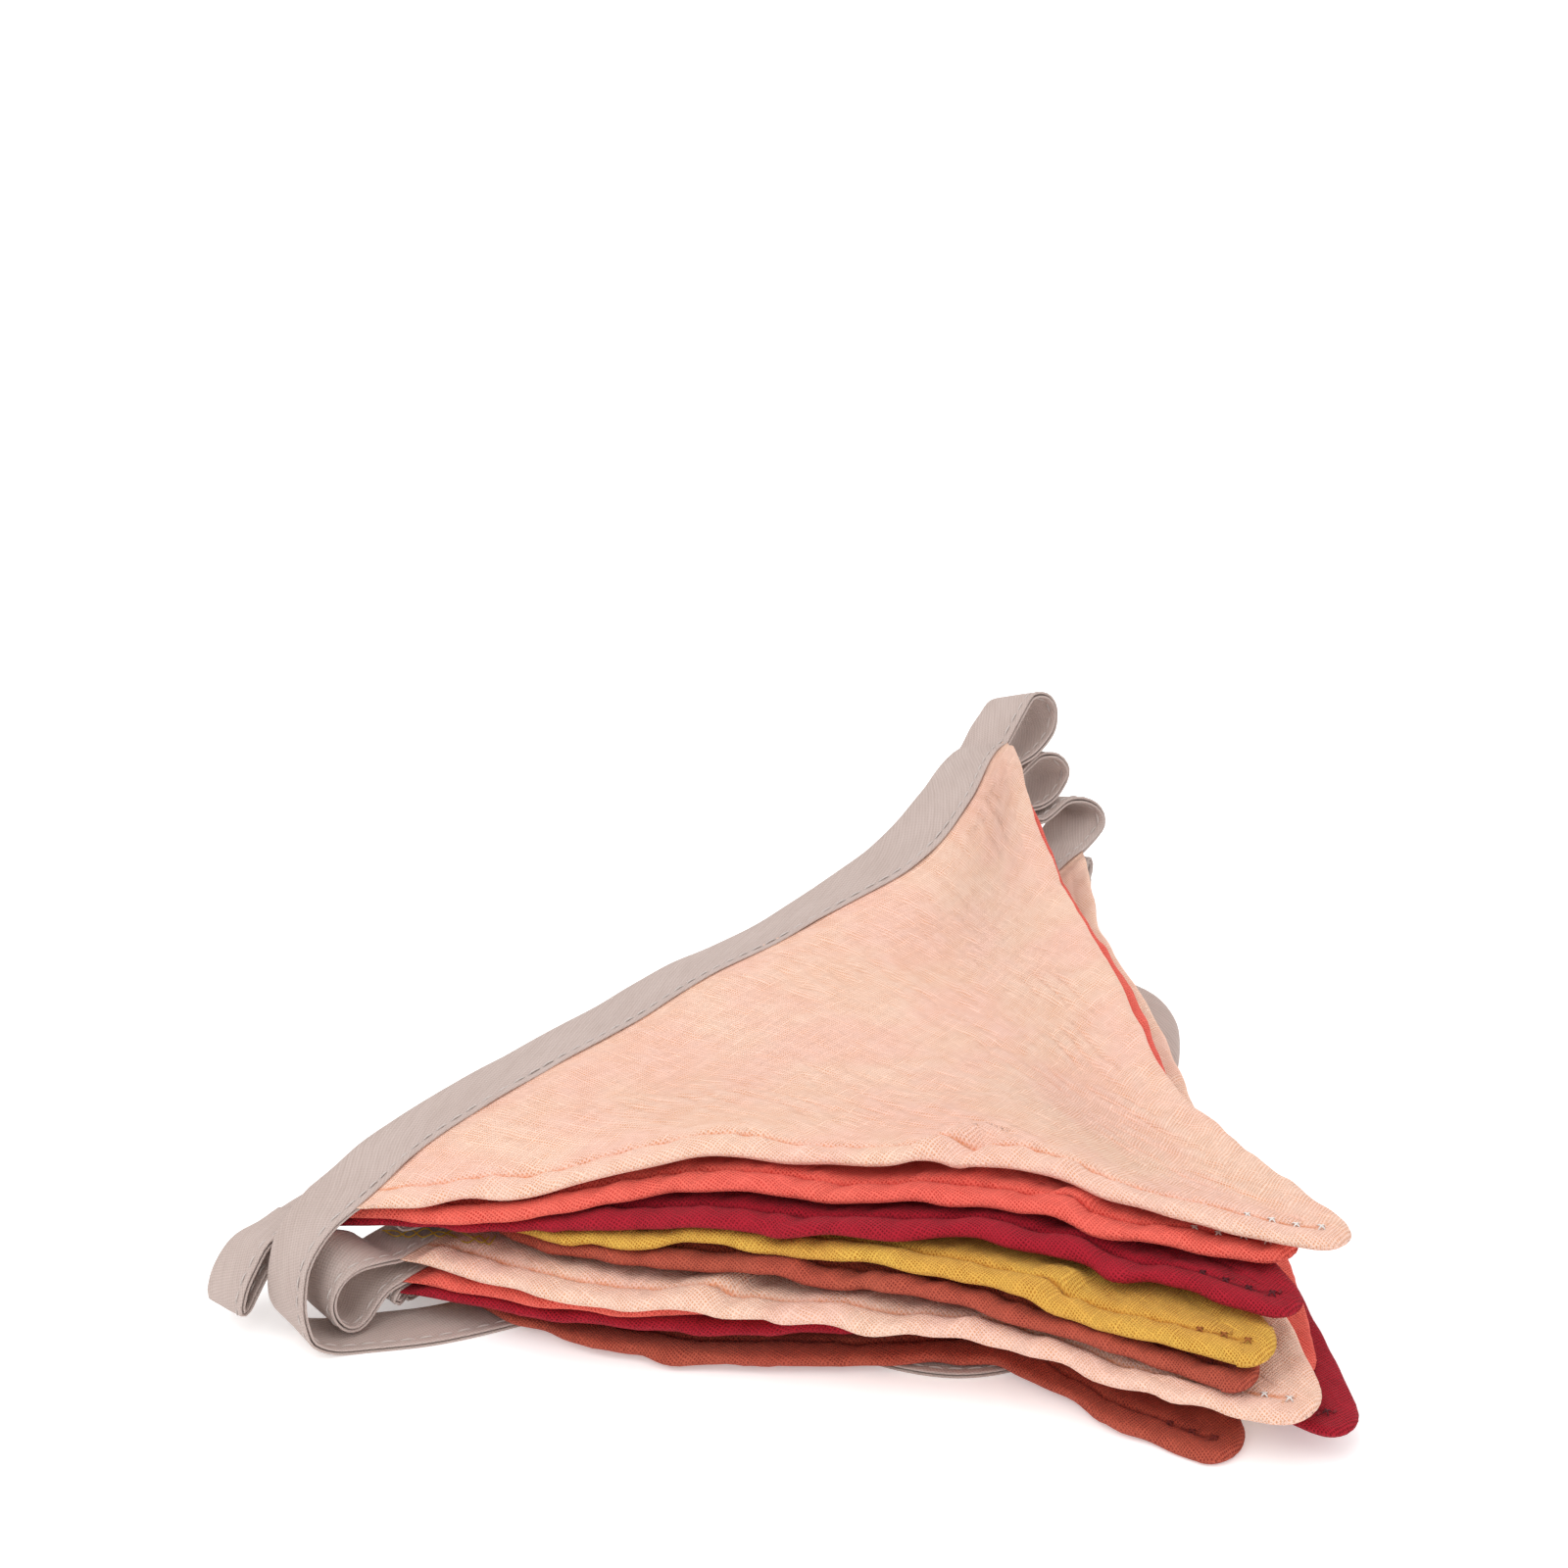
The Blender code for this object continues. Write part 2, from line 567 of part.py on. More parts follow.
def tape_mesh():
    """Closed mesh of the whole tape, swept along its route."""
    route = smooth_route(tape_route())
    half = 0.5 * TAPE_THICKNESS
    mesh = bmesh.new()
    rings = []
    for index, (point, side) in enumerate(route):
        before = route[max(index - 1, 0)][0]
        after = route[min(index + 1, len(route) - 1)][0]
        normal = (after - before).normalized().cross(side).normalized()
        places = (
            point + normal * half,
            point + side * (TAPE_WIDTH - TAPE_EDGE_ROUND) + normal * half,
            point + side * TAPE_WIDTH,
            point + side * (TAPE_WIDTH - TAPE_EDGE_ROUND) - normal * half,
            point - normal * half,
        )
        rings.append([mesh.verts.new(place) for place in places])
    for ring, following in zip(rings, rings[1:]):
        for place in range(len(ring)):
            beside = (place + 1) % len(ring)
            mesh.faces.new((ring[place], ring[beside], following[beside], following[place]))
    mesh.faces.new(list(reversed(rings[0])))
    mesh.faces.new(rings[-1])
    return mesh


# ---- objects -----------------------------------------------------------------------
def cloth_material(name):
    """A matt cloth of the named colour."""
    material = bpy.data.materials.new(name)
    material.use_nodes = True
    shader = material.node_tree.nodes["Principled BSDF"]
    shader.inputs["Base Color"].default_value = COLOURS[name]
    shader.inputs["Roughness"].default_value = CLOTH_ROUGHNESS
    shader.inputs["Metallic"].default_value = 0.0
    material.diffuse_color = COLOURS[name]
    return material


def add_object(name, mesh, material):
    """Finish a mesh, turn it to metres and put it in the scene as one object."""
    bmesh.ops.translate(mesh, vec=-Vector(ORIGIN), verts=mesh.verts)
    bmesh.ops.scale(mesh, vec=(MM, MM, MM), verts=mesh.verts)
    bmesh.ops.triangulate(mesh, faces=mesh.faces)
    bmesh.ops.recalc_face_normals(mesh, faces=mesh.faces)
    data = bpy.data.meshes.new(name)
    mesh.to_mesh(data)
    mesh.free()
    data.materials.append(material)
    piece = bpy.data.objects.new(name, data)
    bpy.context.scene.collection.objects.link(piece)
    return piece


def main():
    """Build the ten flags and the tape."""
    for old in list(bpy.data.objects):
        bpy.data.objects.remove(old, do_unlink=True)
    materials = {name: cloth_material(name) for name in COLOURS}
    for index, layer in enumerate(LAYERS):
        add_object(f"flag_{index + 1:02d}", flag_mesh(index), materials[layer.colour])
    add_object("tape", tape_mesh(), materials["taupe"])


END_PLACES = [
    tuple((point + side * 0.5 * TAPE_WIDTH)[:2])
    for rows in (TOP_END[TOP_END_GROUND:], BOTTOM_END[BOTTOM_END_GROUND:])
    for point, side in smooth_route(end_stations(rows))
]

main()
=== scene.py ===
"""The looks of a folded fabric bunting: gauze flags, bias tape, stitching and studio.

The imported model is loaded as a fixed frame.  Every flag and the tape get a fine cloth of
their own, laid where the frame's solids lie, with hems, puckers, creases and stitches.
Lengths are in millimetres until a mesh is made.
"""

import logging
import math
from dataclasses import dataclass
from enum import Enum
from typing import Any, Iterable, Optional, Sequence, Union

import bmesh
import bpy
import numpy as np
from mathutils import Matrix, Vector


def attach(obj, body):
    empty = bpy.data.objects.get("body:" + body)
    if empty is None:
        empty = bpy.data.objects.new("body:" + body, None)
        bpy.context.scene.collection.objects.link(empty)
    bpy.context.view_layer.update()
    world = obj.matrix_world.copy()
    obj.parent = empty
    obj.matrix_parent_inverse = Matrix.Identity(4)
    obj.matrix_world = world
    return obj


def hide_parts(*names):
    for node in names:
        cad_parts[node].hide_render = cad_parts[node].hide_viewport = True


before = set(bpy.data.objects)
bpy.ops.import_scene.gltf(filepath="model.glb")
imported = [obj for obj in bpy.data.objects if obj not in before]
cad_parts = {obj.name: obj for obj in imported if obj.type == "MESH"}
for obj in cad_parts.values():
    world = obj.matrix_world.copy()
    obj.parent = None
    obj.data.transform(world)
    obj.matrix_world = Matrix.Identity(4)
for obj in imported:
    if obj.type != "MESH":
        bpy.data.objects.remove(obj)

logging.basicConfig(level=logging.INFO, format="%(message)s")
LOG = logging.getLogger("bunting")

Array = np.ndarray
Colour = tuple[float, float, float]
Place = tuple[float, float]

MM = 0.001
BODY = "root"

# ---- sizes that the frame's solids were made from ------------------------------------
ORIGIN = (30.0, -14.0, 0.0)
TAPE_WIDTH = 10.8
TAPE_THICKNESS = 1.2
TAPE_REST_HEIGHT = 0.5 * TAPE_THICKNESS
SEAM_GAP = 0.3
HEM_ROWS = (0.0, 2.6, 5.6, 9.5)
OPEN_ROWS = 9
TOP_OPEN_ROWS = 13
FLAG_DEPTH = 154.0
BLUNT_FROM = 0.927
BLUNT_SHARE = 0.342
TIP_RADIUS = 7.6
EDGE_REACH = 34.0
# What a flag was cut to, before it was sewn to the tape.
FLAG_CUT = (0.180, 0.148)
# Length of a flag's free edge, and how far it slants: distance to the edge over width.
EDGE_LENGTH = 173.0
EDGE_SLANT = 0.8545
TIP_SOFTNESS = 0.8
# Length along the edge from the tape to the middle of the blunt tip.
ROUND_THE_TIP = (BLUNT_FROM + (1.0 - BLUNT_FROM) * BLUNT_SHARE) * EDGE_LENGTH
# Distance of the hem's stitch line from the free edge.
HEM_STITCH = 5.1
EDGE_ROUND = 1.25
# How much longer the way round the edge is than its plan, from a distance outwards.
RIM_REACH = ((0.0, 0.351), (0.15, 0.102), (0.5, 0.02), (1.0, 0.0))
RIM_MIDDLE = 0.25
# Where the hem's look changes from the front edge's to the back edge's, as shares across.
FRONT_FADE = (0.35, 0.65)
# Added to the hem map by the back edge, so that no topstitch line, with its painted groove
# shade, is drawn there.
BACK_HEM_SHIFT = 60.0
# Width of the sewn groove, and the pitch of the stitches in it.
GROOVE_WIDTH = 0.75
STITCH_PITCH = 3.3
# What a cloth keeps clear of the ground and of the layer above, and its least thickness.
GROUND_GAP = 0.02
LAYER_GAP = 0.12
THINNEST = 0.45
# Share of the thickness that is left at the very rim.
RIM_SHARE = 0.22
# Shares of the depth between which the free edges start to swell, from the tape down.
TAPE_CALM = (0.02, 0.1)
# Thickness of the cloth over the distance from a free edge, without the sewn groove.
HEM_THICKNESS = (
    (0.0, 2.0), (1.2, 2.3), (2.4, 2.4), (3.8, 2.2), (5.1, 1.95), (6.6, 2.05), (8.5, 1.9),
    (12.0, 1.65), (18.0, 1.5),
)
# Distances from a free edge at which a flag's columns lie; they move closer together where
# the flag is narrower than this many times their reach.
HEM_COLUMNS = (0.0, 0.15, 0.5, 1.0, 1.7, 2.6, 3.5, 4.2, 4.75, 5.1, 5.45, 6.0, 7.0, 8.4)
NARROW_SHARE = 2.6
# Distances of a flag's rows from the tape, of its even rows' start, and from the tip's end.
TAPE_ROWS = (0.0, 0.5, 1.0, 1.6, 2.3, 3.1, 4.0)
BODY_START = 5.2
TIP_ROWS = (3.4, 2.9, 2.4, 1.9, 1.4, 1.0, 0.65, 0.35, 0.12)

# ---- small numbers -------------------------------------------------------------------
TINY = 1e-9
NO_SHARE = 1e-6
# Half of the stretch of a flag's top edge that gives the edge's direction.
SPINE_PROBE = 0.01
# Points per row of a free end from which the distance to it is taken.
END_COVER_READS = 12
FRAY_SEED = 500
STRAND_SIDES = 6
# A direction that no strand follows, and what takes the height out of a direction.
NEARLY_UP = (0.13, 0.21, 0.97)
LEVEL = (1.0, 1.0, 0.0)
# Numbers of the sockets that mix two colours.
MIX_FACTOR, MIX_FIRST, MIX_SECOND, MIX_RESULT = 0, 6, 7, 2


@dataclass(frozen=True)
class Layer:
    """One flag of the pile, seen from above, and the heights of its underside."""

    colour: str
    near: Place
    far: Place
    tip: Place
    near_height: float
    far_height: float
    tip_height: float
    body_height: float
    front: tuple[float, ...]
    back: tuple[float, ...]
    spine: tuple[float, ...]


@dataclass(frozen=True)
class Fold:
    """A loose turn of the tape: rows of (out, aside, height, lean) from a corner."""

    corner: Place
    heading: float
    outer: float
    rows: tuple[tuple[float, ...], ...]


# The pile from the ground up.
LAYERS = (
    Layer("rust", (-61.0, -37.0), (57.0, 96.0), (80.0, -91.3), 0.0, 0.0, 0.0, 0.0,
          (6.2, 5.5, -2.6, -12.1, -4.0), (-2.0, -2.0, 0.0), (-2.0, -6.0, -9.0, -8.0)),
    Layer("mustard", (-62.0, -41.0), (58.0, 92.0), (85.7, -83.4), 3.6, 5.0, 3.0, 3.8,
          (-2.0, -6.0, -13.0, -20.0, -14.0), (-6.0, -6.0, -5.0), (-2.0, -6.0, -9.0, -8.0)),
    Layer("burgundy", (-64.0, -46.0), (60.0, 91.0), (99.4, -92.1), 5.8, 7.6, 5.2, 6.6,
          (1.2, -1.2, -10.0, -16.0, -10.0), (-5.0, -3.0, 1.0), (-2.0, -6.0, -9.0, -8.0)),
    Layer("coral", (-63.0, -46.0), (61.0, 91.0), (92.2, -80.2), 8.0, 10.6, 7.4, 9.4,
          (4.0, 1.2, -4.5, -8.0, -5.0), (-8.0, -4.0, 4.0), (-2.0, -6.0, -9.0, -8.0)),
    Layer("peach", (-63.5, -45.0), (60.9, 94.0), (93.2, -92.1), 11.9, 13.6, 9.6, 12.2,
          (5.1, 2.1, -0.7, -3.9, -0.1), (-3.7, -0.9, -1.2, -1.7, -1.0),
          (-2.0, -5.0, -8.0, -8.0)),
    Layer("rust", (-56.0, -36.0), (51.0, 92.5), (83.1, -89.1), 14.7, 22.2, 12.8, 16.6,
          (5.6, 3.4, -0.5, -2.9, -3.3), (-9.0, -6.0, -4.0), (3.2, -1.6, -5.8, -7.2)),
    Layer("mustard", (-57.5, -36.5), (48.5, 93.0), (86.4, -86.2), 16.9, 24.4, 16.6, 20.4,
          (5.8, 2.3, -1.0, -2.3, -0.9), (-9.0, -8.0, -5.0), (3.2, -1.6, -5.8, -7.2)),
    Layer("burgundy", (-77.0, -41.2), (46.0, 94.0), (92.2, -79.1), 18.2, 29.8, 20.6, 24.2,
          (0.2, -0.4, -1.8, -7.9, -5.9), (-6.0, -8.0, -7.0), (-2.5, -5.0, -8.6, -10.0)),
    Layer("coral", (-78.0, -41.6), (46.0, 94.2), (92.6, -67.4), 20.3, 33.4, 24.6, 27.9,
          (3.8, -1.2, -1.9, -5.3, -1.8), (-3.6, -4.2, -8.4), (-2.5, -6.0, -9.3, -10.8)),
    Layer("peach", (-70.4, -46.4), (45.6, 93.9), (102.0, -68.4), 23.4, 39.4, 28.6, 31.5,
          (-2.1, -7.9, -10.0, -12.0, -2.2), (-6.0, -9.2, -11.8, -15.0, -8.4),
          (3.7, -1.2, -2.8, -3.6, -7.2, -12.4, -8.7)),
)

# Places seen from above that carry the heights: the pile's corners, and its body.
NEAR_PLACE = (-75.0, -45.0)
FAR_PLACE = (48.0, 95.0)
TIP_PLACE = (92.0, -70.0)
BODY_PLACES = (
    # x, y, share of the body height
    (5.0, -48.0, 1.04),
    (-20.0, 15.0, 0.92),
    (30.0, 0.0, 1.00),
    (62.0, 20.0, 1.05),
)
HEIGHT_SPREAD = 26.0
# The line along which the pile is sewn to its tape, and how the pile falls away beside it
# over the share of the line's length.
SPINE_NEAR = (-72.2, -44.2)
SPINE_FAR = (45.0, 94.6)
SPINE_FALL = ((0.0, 0.0145), (0.3, 0.0095), (0.5, 0.009), (0.75, 0.0145), (1.0, 0.0125))
TOP_SPINE_FALL = ((0.0, 0.0), (0.18, 0.001), (0.35, 0.006), *SPINE_FALL[2:])
SPINE_FALL_START = 9.0
SPINE_FALL_ROUND = 14.0
RIPPLE_SHARE = 0.025
RIPPLE_LENGTH = 52.0
RIPPLE_SKEW = 0.3
RIPPLE_CROSS = 0.6
RIPPLE_START = 0.9

# From the top of the pile down, at the far end.
FAR_FOLDS = (
    Fold((45.0, 94.6), 56.0, 150.0, (
        (4.0, 0.2, 40.5, -18.0), (7.6, -0.2, 42.0, -20.0), (12.5, -0.9, 43.0, -21.0),
        (15.9, 0.0, 42.0, -22.0), (17.6, 0.8, 39.5, -22.0), (17.6, 1.2, 36.8, -22.0),
        (15.0, 1.9, 34.6, -21.0), (8.6, 2.4, 33.4, -20.0), (4.0, 2.2, 33.3, -18.0))),
    Fold((47.5, 93.5), 56.0, 150.0, (
        (2.6, -0.9, 30.0, -14.0), (6.5, -0.9, 30.8, -17.0), (11.0, -0.8, 31.1, -18.0),
        (14.4, 0.8, 30.0, -18.0), (15.9, 2.0, 27.6, -18.0), (16.3, 2.1, 25.2, -18.0),
        (14.2, 2.0, 23.2, -17.0), (10.2, 2.2, 22.5, -16.0), (5.4, 2.0, 22.9, -14.0))),
    Fold((56.0, 92.0), 56.0, 150.0, (
        (0.0, -3.8, 21.2, -8.0), (3.7, -3.9, 20.8, -12.0), (9.5, -4.2, 20.6, -14.0),
        (12.6, -3.9, 20.2, -14.0), (15.5, -2.9, 19.2, -14.0), (17.7, -1.8, 17.4, -10.0),
        (18.3, -0.6, 15.4, -4.0), (17.3, 0.3, 13.7, 4.0), (14.7, 0.6, 12.9, 8.0),
        (8.6, 1.6, 13.0, 2.0))),
    Fold((60.8, 90.5), 54.0, 144.0, (
        (3.0, -0.8, 10.6, -6.0), (5.0, -2.0, 10.3, -8.0), (6.8, -2.8, 10.1, -8.0),
        (8.3, -3.4, 9.4, -8.0), (8.7, -3.4, 8.4, -8.0), (7.9, -2.9, 7.5, -7.0),
        (5.4, -1.6, 7.3, -5.0), (3.0, 0.0, 7.6, -2.0))),
    Fold((57.5, 94.0), 54.0, 144.0, (
        (2.2, 0.0, 5.2, 0.0), (4.2, 0.0, 4.8, 0.0), (5.3, 0.0, 3.8, 0.0),
        (5.0, 0.0, 2.4, 0.0), (3.6, 0.0, 1.4, 0.0), (2.0, 0.0, 0.9, 0.0))),
)

# From the top of the pile down, at the near end.
NEAR_FOLDS = (
    Fold((-78.0, -41.6), 226.0, 130.0, (
        (1.5, 0.7, 19.2, -18.0), (5.1, 1.6, 18.0, -19.0), (9.0, 2.7, 16.4, -17.0),
        (12.1, 2.5, 13.8, -11.0), (15.0, 2.0, 11.0, -9.0), (16.9, 1.2, 8.2, -9.0),
        (16.6, 1.5, 6.5, -9.0), (14.7, 2.2, 6.1, -9.0), (12.0, 3.0, 7.9, -10.0),
        (8.7, 3.2, 11.2, -12.0), (4.4, 2.2, 15.0, -15.0))),
    Fold((-56.7, -36.3), 212.0, 124.0, (
        (2.6, -0.2, 17.6, -10.0), (5.6, -0.3, 17.5, -11.0), (8.0, 0.0, 17.2, -11.0),
        (9.0, 0.2, 16.6, -11.0), (8.2, 0.2, 15.9, -11.0), (5.6, 0.0, 15.6, -10.0),
        (2.6, 0.0, 15.6, -8.0))),
    Fold((-63.4, -45.4), 218.0, 128.0, (
        (4.5, 0.0, 13.9, 5.0), (9.0, 0.0, 14.4, 14.0), (12.3, 0.0, 13.3, 16.0),
        (14.2, 0.0, 10.8, 11.0), (14.5, 0.0, 8.2, 5.0), (13.6, 0.0, 5.5, 1.0),
        (11.8, 0.0, 3.3, 0.0), (9.6, 0.0, 2.7, 0.0), (7.6, 0.0, 3.7, 0.0),
        (5.8, 0.0, 5.7, 0.0), (3.4, 0.0, 7.7, 0.0))),
    Fold((-64.0, -46.0), 222.0, 132.0, (
        (0.8, 0.0, 6.1, 0.0), (1.4, 0.0, 5.2, 0.0), (0.4, 0.0, 4.4, 0.0))),
)


def on_ground(*rows: tuple[float, float, float]) -> tuple[tuple[float, ...], ...]:
    """Rows of a free end that lies flat, from their x, y and bearing."""
    return tuple((x, y, TAPE_REST_HEIGHT, turn, 0.0) for x, y, turn in rows)


# The free ends: (x, y, height) of the stitched edge, and the outer edge's bearing and lean.
TOP_END = (
    (-74.6, -48.9, 21.8, 142.0, -4.0),
    (-77.2, -52.6, 19.8, 139.0, -10.0),
    (-78.8, -55.2, 17.4, 134.0, -14.0),
    (-79.4, -56.6, 14.4, 133.0, -15.0),
    (-79.5, -57.7, 10.7, 130.0, -14.0),
    (-79.0, -58.0, 6.9, 123.0, -10.0),
    (-78.0, -57.8, 3.6, 116.0, -4.0),
    (-75.0, -56.4, 1.3, 111.0, -1.0),
    *on_ground(
        (-70.8, -55.2, 108.0), (-60.0, -53.2, 101.0), (-52.0, -50.6, 106.0),
        (-43.4, -47.0, 112.0), (-35.0, -43.6, 108.0), (-24.0, -41.5, 94.0),
        (-12.0, -43.0, 78.0), (0.0, -47.8, 64.0), (10.0, -54.0, 60.0),
        (20.0, -59.6, 70.0), (30.0, -62.2, 88.0), (39.0, -61.0, 104.0),
        (48.0, -56.5, 122.0), (57.0, -49.5, 130.0),
    ),
)
BOTTOM_END = (
    (-62.8, -39.1, 2.20, 138.0, 0.0),
    (-63.3, -39.7, 1.96, 138.0, 0.0),
    (-63.5, -39.9, 1.40, 138.0, 0.0),
    (-63.3, -39.7, 0.84, 138.0, 0.0),
    *on_ground(
        (-62.8, -39.1, 138.0), (-60.0, -36.0, 138.0), (-45.0, -20.0, 137.0),
        (-25.0, -1.0, 134.0), (0.0, 20.0, 130.0), (25.0, 40.0, 126.0),
        (40.0, 51.5, 124.0), (50.0, 57.0, 112.0), (58.4, 59.2, 85.0),
        (64.2, 56.2, 45.0), (66.2, 50.7, 15.0), (66.1, 44.0, 0.0),
        (64.8, 35.0, -8.0), (61.5, 23.0, -14.0),
    ),
)
END_COVER_HEIGHT = 1.6
END_COVER_FLAT = 15.0
END_COVER_REACH = 30.0
# Rows of the free ends from which they lie on the ground under the lowest flag.
TOP_END_GROUND = 8
BOTTOM_END_GROUND = 4


# ---- small maths ---------------------------------------------------------------------
def smooth_step(low: float, high: float, value: Any) -> Any:
    """Ease from 0 at low to 1 at high, for numbers and arrays."""
    share = np.clip((np.asarray(value, float) - low) / (high - low), 0.0, 1.0)
    return share * share * (3.0 - 2.0 * share)


def hump(value: Any, middle: float, width: float) -> Any:
    """One at the middle, falling off smoothly over the width to both sides."""
    return np.exp(-(((value - middle) / width) ** 2))


def table_value(rows: Sequence[Place], place: Any) -> Any:
    """Read a table of (place, value) rows with straight lines between the rows."""
    return np.interp(place, [row[0] for row in rows], [row[1] for row in rows])


def read_rows(reads: Any, places: Sequence[float], rows: Array) -> Array:
    """Read points that are known at rising places, with straight lines between them."""
    return np.stack([np.interp(reads, places, column) for column in rows.T], -1)


def length_along(points: Array) -> Array:
    """Length of the way from the first point to every point."""
    steps = np.linalg.norm(np.diff(points, axis=0), axis=1)
    return np.concatenate([[0.0], steps.cumsum()])


def catmull_rom(before: Any, start: Any, end: Any, after: Any, part: Any) -> Any:
    """A smooth curve through start and end, for numbers and arrays alike.

    Args:
        before: the knot before the start.
        start: the knot at part 0.
        end: the knot at part 1.
        after: the knot after the end.
        part: share of the way from start to end.

    Returns:
        The curve there.
    """
    square = part * part
    cube = square * part
    return 0.5 * (
        2.0 * start
        + (end - before) * part
        + (2.0 * before - 5.0 * start + 4.0 * end - after) * square
        + (3.0 * start - before - 3.0 * end + after) * cube
    )


def curve_value(values: Sequence[float], share: Array) -> Array:
    """Read evenly spaced values, with zero at both ends, as a smooth curve.

    Args:
        values: the curve's values between its ends.
        share: places on the curve, from 0 to 1.

    Returns:
        The curve there.
    """
    knots = np.array((0.0, *values, 0.0))
    place = np.clip(share, 0.0, 1.0) * (len(knots) - 1)
    index = np.minimum(place.astype(int), len(knots) - 2)
    before = knots[np.maximum(index - 1, 0)]
    after = knots[np.minimum(index + 2, len(knots) - 1)]
    return catmull_rom(before, knots[index], knots[index + 1], after, place - index)


def unit(vectors: Array) -> Array:
    """Scale vectors, along the last axis, to length one."""
    return vectors / np.maximum(np.linalg.norm(vectors, axis=-1, keepdims=True), TINY)


def bearing(degrees: float, lean: float) -> Array:
    """Unit vector at a bearing in the ground plane, raised by a lean.

    Args:
        degrees: the bearing, from +X towards +Y.
        lean: the angle above the ground, in degrees.

    Returns:
        The vector.
    """
    turn, rise = math.radians(degrees), math.radians(lean)
    flat = math.cos(rise)
    return np.array((math.cos(turn) * flat, math.sin(turn) * flat, math.sin(rise)))


@dataclass(frozen=True)
class Wrinkles:
    """Soft irregular ridges: a seeded sum of waves that mostly run one way.

    length is the usual distance between ridges, heading the bearing that the ridges run
    along, in degrees, and spread how far they stray from it.
    """

    seed: int
    length: float
    heading: float = 0.0
    spread: float = 25.0
    waves: int = 18
    length_shares: Place = (0.65, 1.7)

    def value(self, x: Array, y: Array, layer: int = 0) -> Array:
        """Height of the ridges at pattern places.

        Args:
            x: places across, in millimetres.
            y: places along, in millimetres.
            layer: number of the cloth, each of which has ridges of its own.

        Returns:
            Heights, mostly between -1 and 1.
        """
        draw = np.random.default_rng(self.seed + layer)
        total = np.zeros(np.broadcast(x, y).shape)
        for _ in range(self.waves):
            turn = math.radians(self.heading + 90.0 + draw.normal(0.0, self.spread))
            step = 2.0 * math.pi / (self.length * draw.uniform(*self.length_shares))
            phase = draw.uniform(0.0, 2.0 * math.pi)
            total += np.cos(step * (x * math.cos(turn) + y * math.sin(turn)) + phase)
        return total * math.sqrt(1.0 / self.waves)


@dataclass(frozen=True)
class Crease:
    """A crease placed on a flag's pattern: a ridge, or a trough if height < 0."""

    start: Place
    end: Place
    width: float
    height: float

    def value(self, x: Array, y: Array) -> Array:
        """Height of the crease at pattern places.

        Args:
            x: places along the tape, in millimetres.
            y: places down the flag, in millimetres.

        Returns:
            Heights, fading out round the crease's line.
        """
        line = np.subtract(self.end, self.start)
        length = float(np.hypot(*line))
        ahead = ((x - self.start[0]) * line[0] + (y - self.start[1]) * line[1]) / length
        aside = ((y - self.start[1]) * line[0] - (x - self.start[0]) * line[1]) / length
        past = np.maximum(0.0, np.abs(ahead - 0.5 * length) - 0.5 * length + self.width)
        return self.height * np.exp(-((aside / self.width) ** 2) - (past / self.width) ** 2)


# ---- shader expressions --------------------------------------------------------------
Input = Union["Value", float, int, tuple]


class Value:
    """An output socket of a node tree, on which operators add Math nodes."""

    def __init__(self, shader: "Shader", socket: bpy.types.NodeSocket) -> None:
        """Keep the shader that owns the socket."""
        self.shader = shader
        self.socket = socket

    def _math(self, operation: str, *values: Input) -> "Value":
        """Add a Math node of the operation."""
        settings = {"operation": operation}
        return self.shader.add("ShaderNodeMath", settings, dict(enumerate(values)))

    def __add__(self, other: Input) -> "Value":
        """Sum."""
        return self._math("ADD", self, other)

    def __radd__(self, other: Input) -> "Value":
        """Sum, reflected."""
        return self._math("ADD", other, self)

    def __sub__(self, other: Input) -> "Value":
        """Difference."""
        return self._math("SUBTRACT", self, other)

    def __rsub__(self, other: Input) -> "Value":
        """Difference, reflected."""
        return self._math("SUBTRACT", other, self)

    def __mul__(self, other: Input) -> "Value":
        """Product."""
        return self._math("MULTIPLY", self, other)

    def __rmul__(self, other: Input) -> "Value":
        """Product, reflected."""
        return self._math("MULTIPLY", other, self)

    def wave(self, pitch: float) -> "Value":
        """One at every multiple of the pitch, and zero half-way between."""
        return self._math("COSINE", self * (2.0 * math.pi / pitch)) * 0.5 + 0.5

    def parity(self, pitch: float) -> "Value":
        """Swing between -1 and 1 from one thread to the next."""
        return self._math("COSINE", self * (math.pi / pitch))

    def highest(self, other: Input) -> "Value":
        """The larger of two values."""
        return self._math("MAXIMUM", self, other)

    def between(self, low: float, high: float) -> "Value":
        """Ease from 0 to 1.

        Args:
            low: the value up to which it is 0.
            high: the value from which it is 1.

        Returns:
            The eased value.
        """
        settings = {"interpolation_type": "SMOOTHSTEP"}
        sockets = {"Value": self, "From Min": low, "From Max": high}
        return self.shader.add("ShaderNodeMapRange", settings, sockets)

    def near(self, middle: float, width: float) -> "Value":
        """One at the middle, falling off smoothly over the width to both sides."""
        return 1.0 - self._math("ABSOLUTE", self - middle).between(0.0, width)


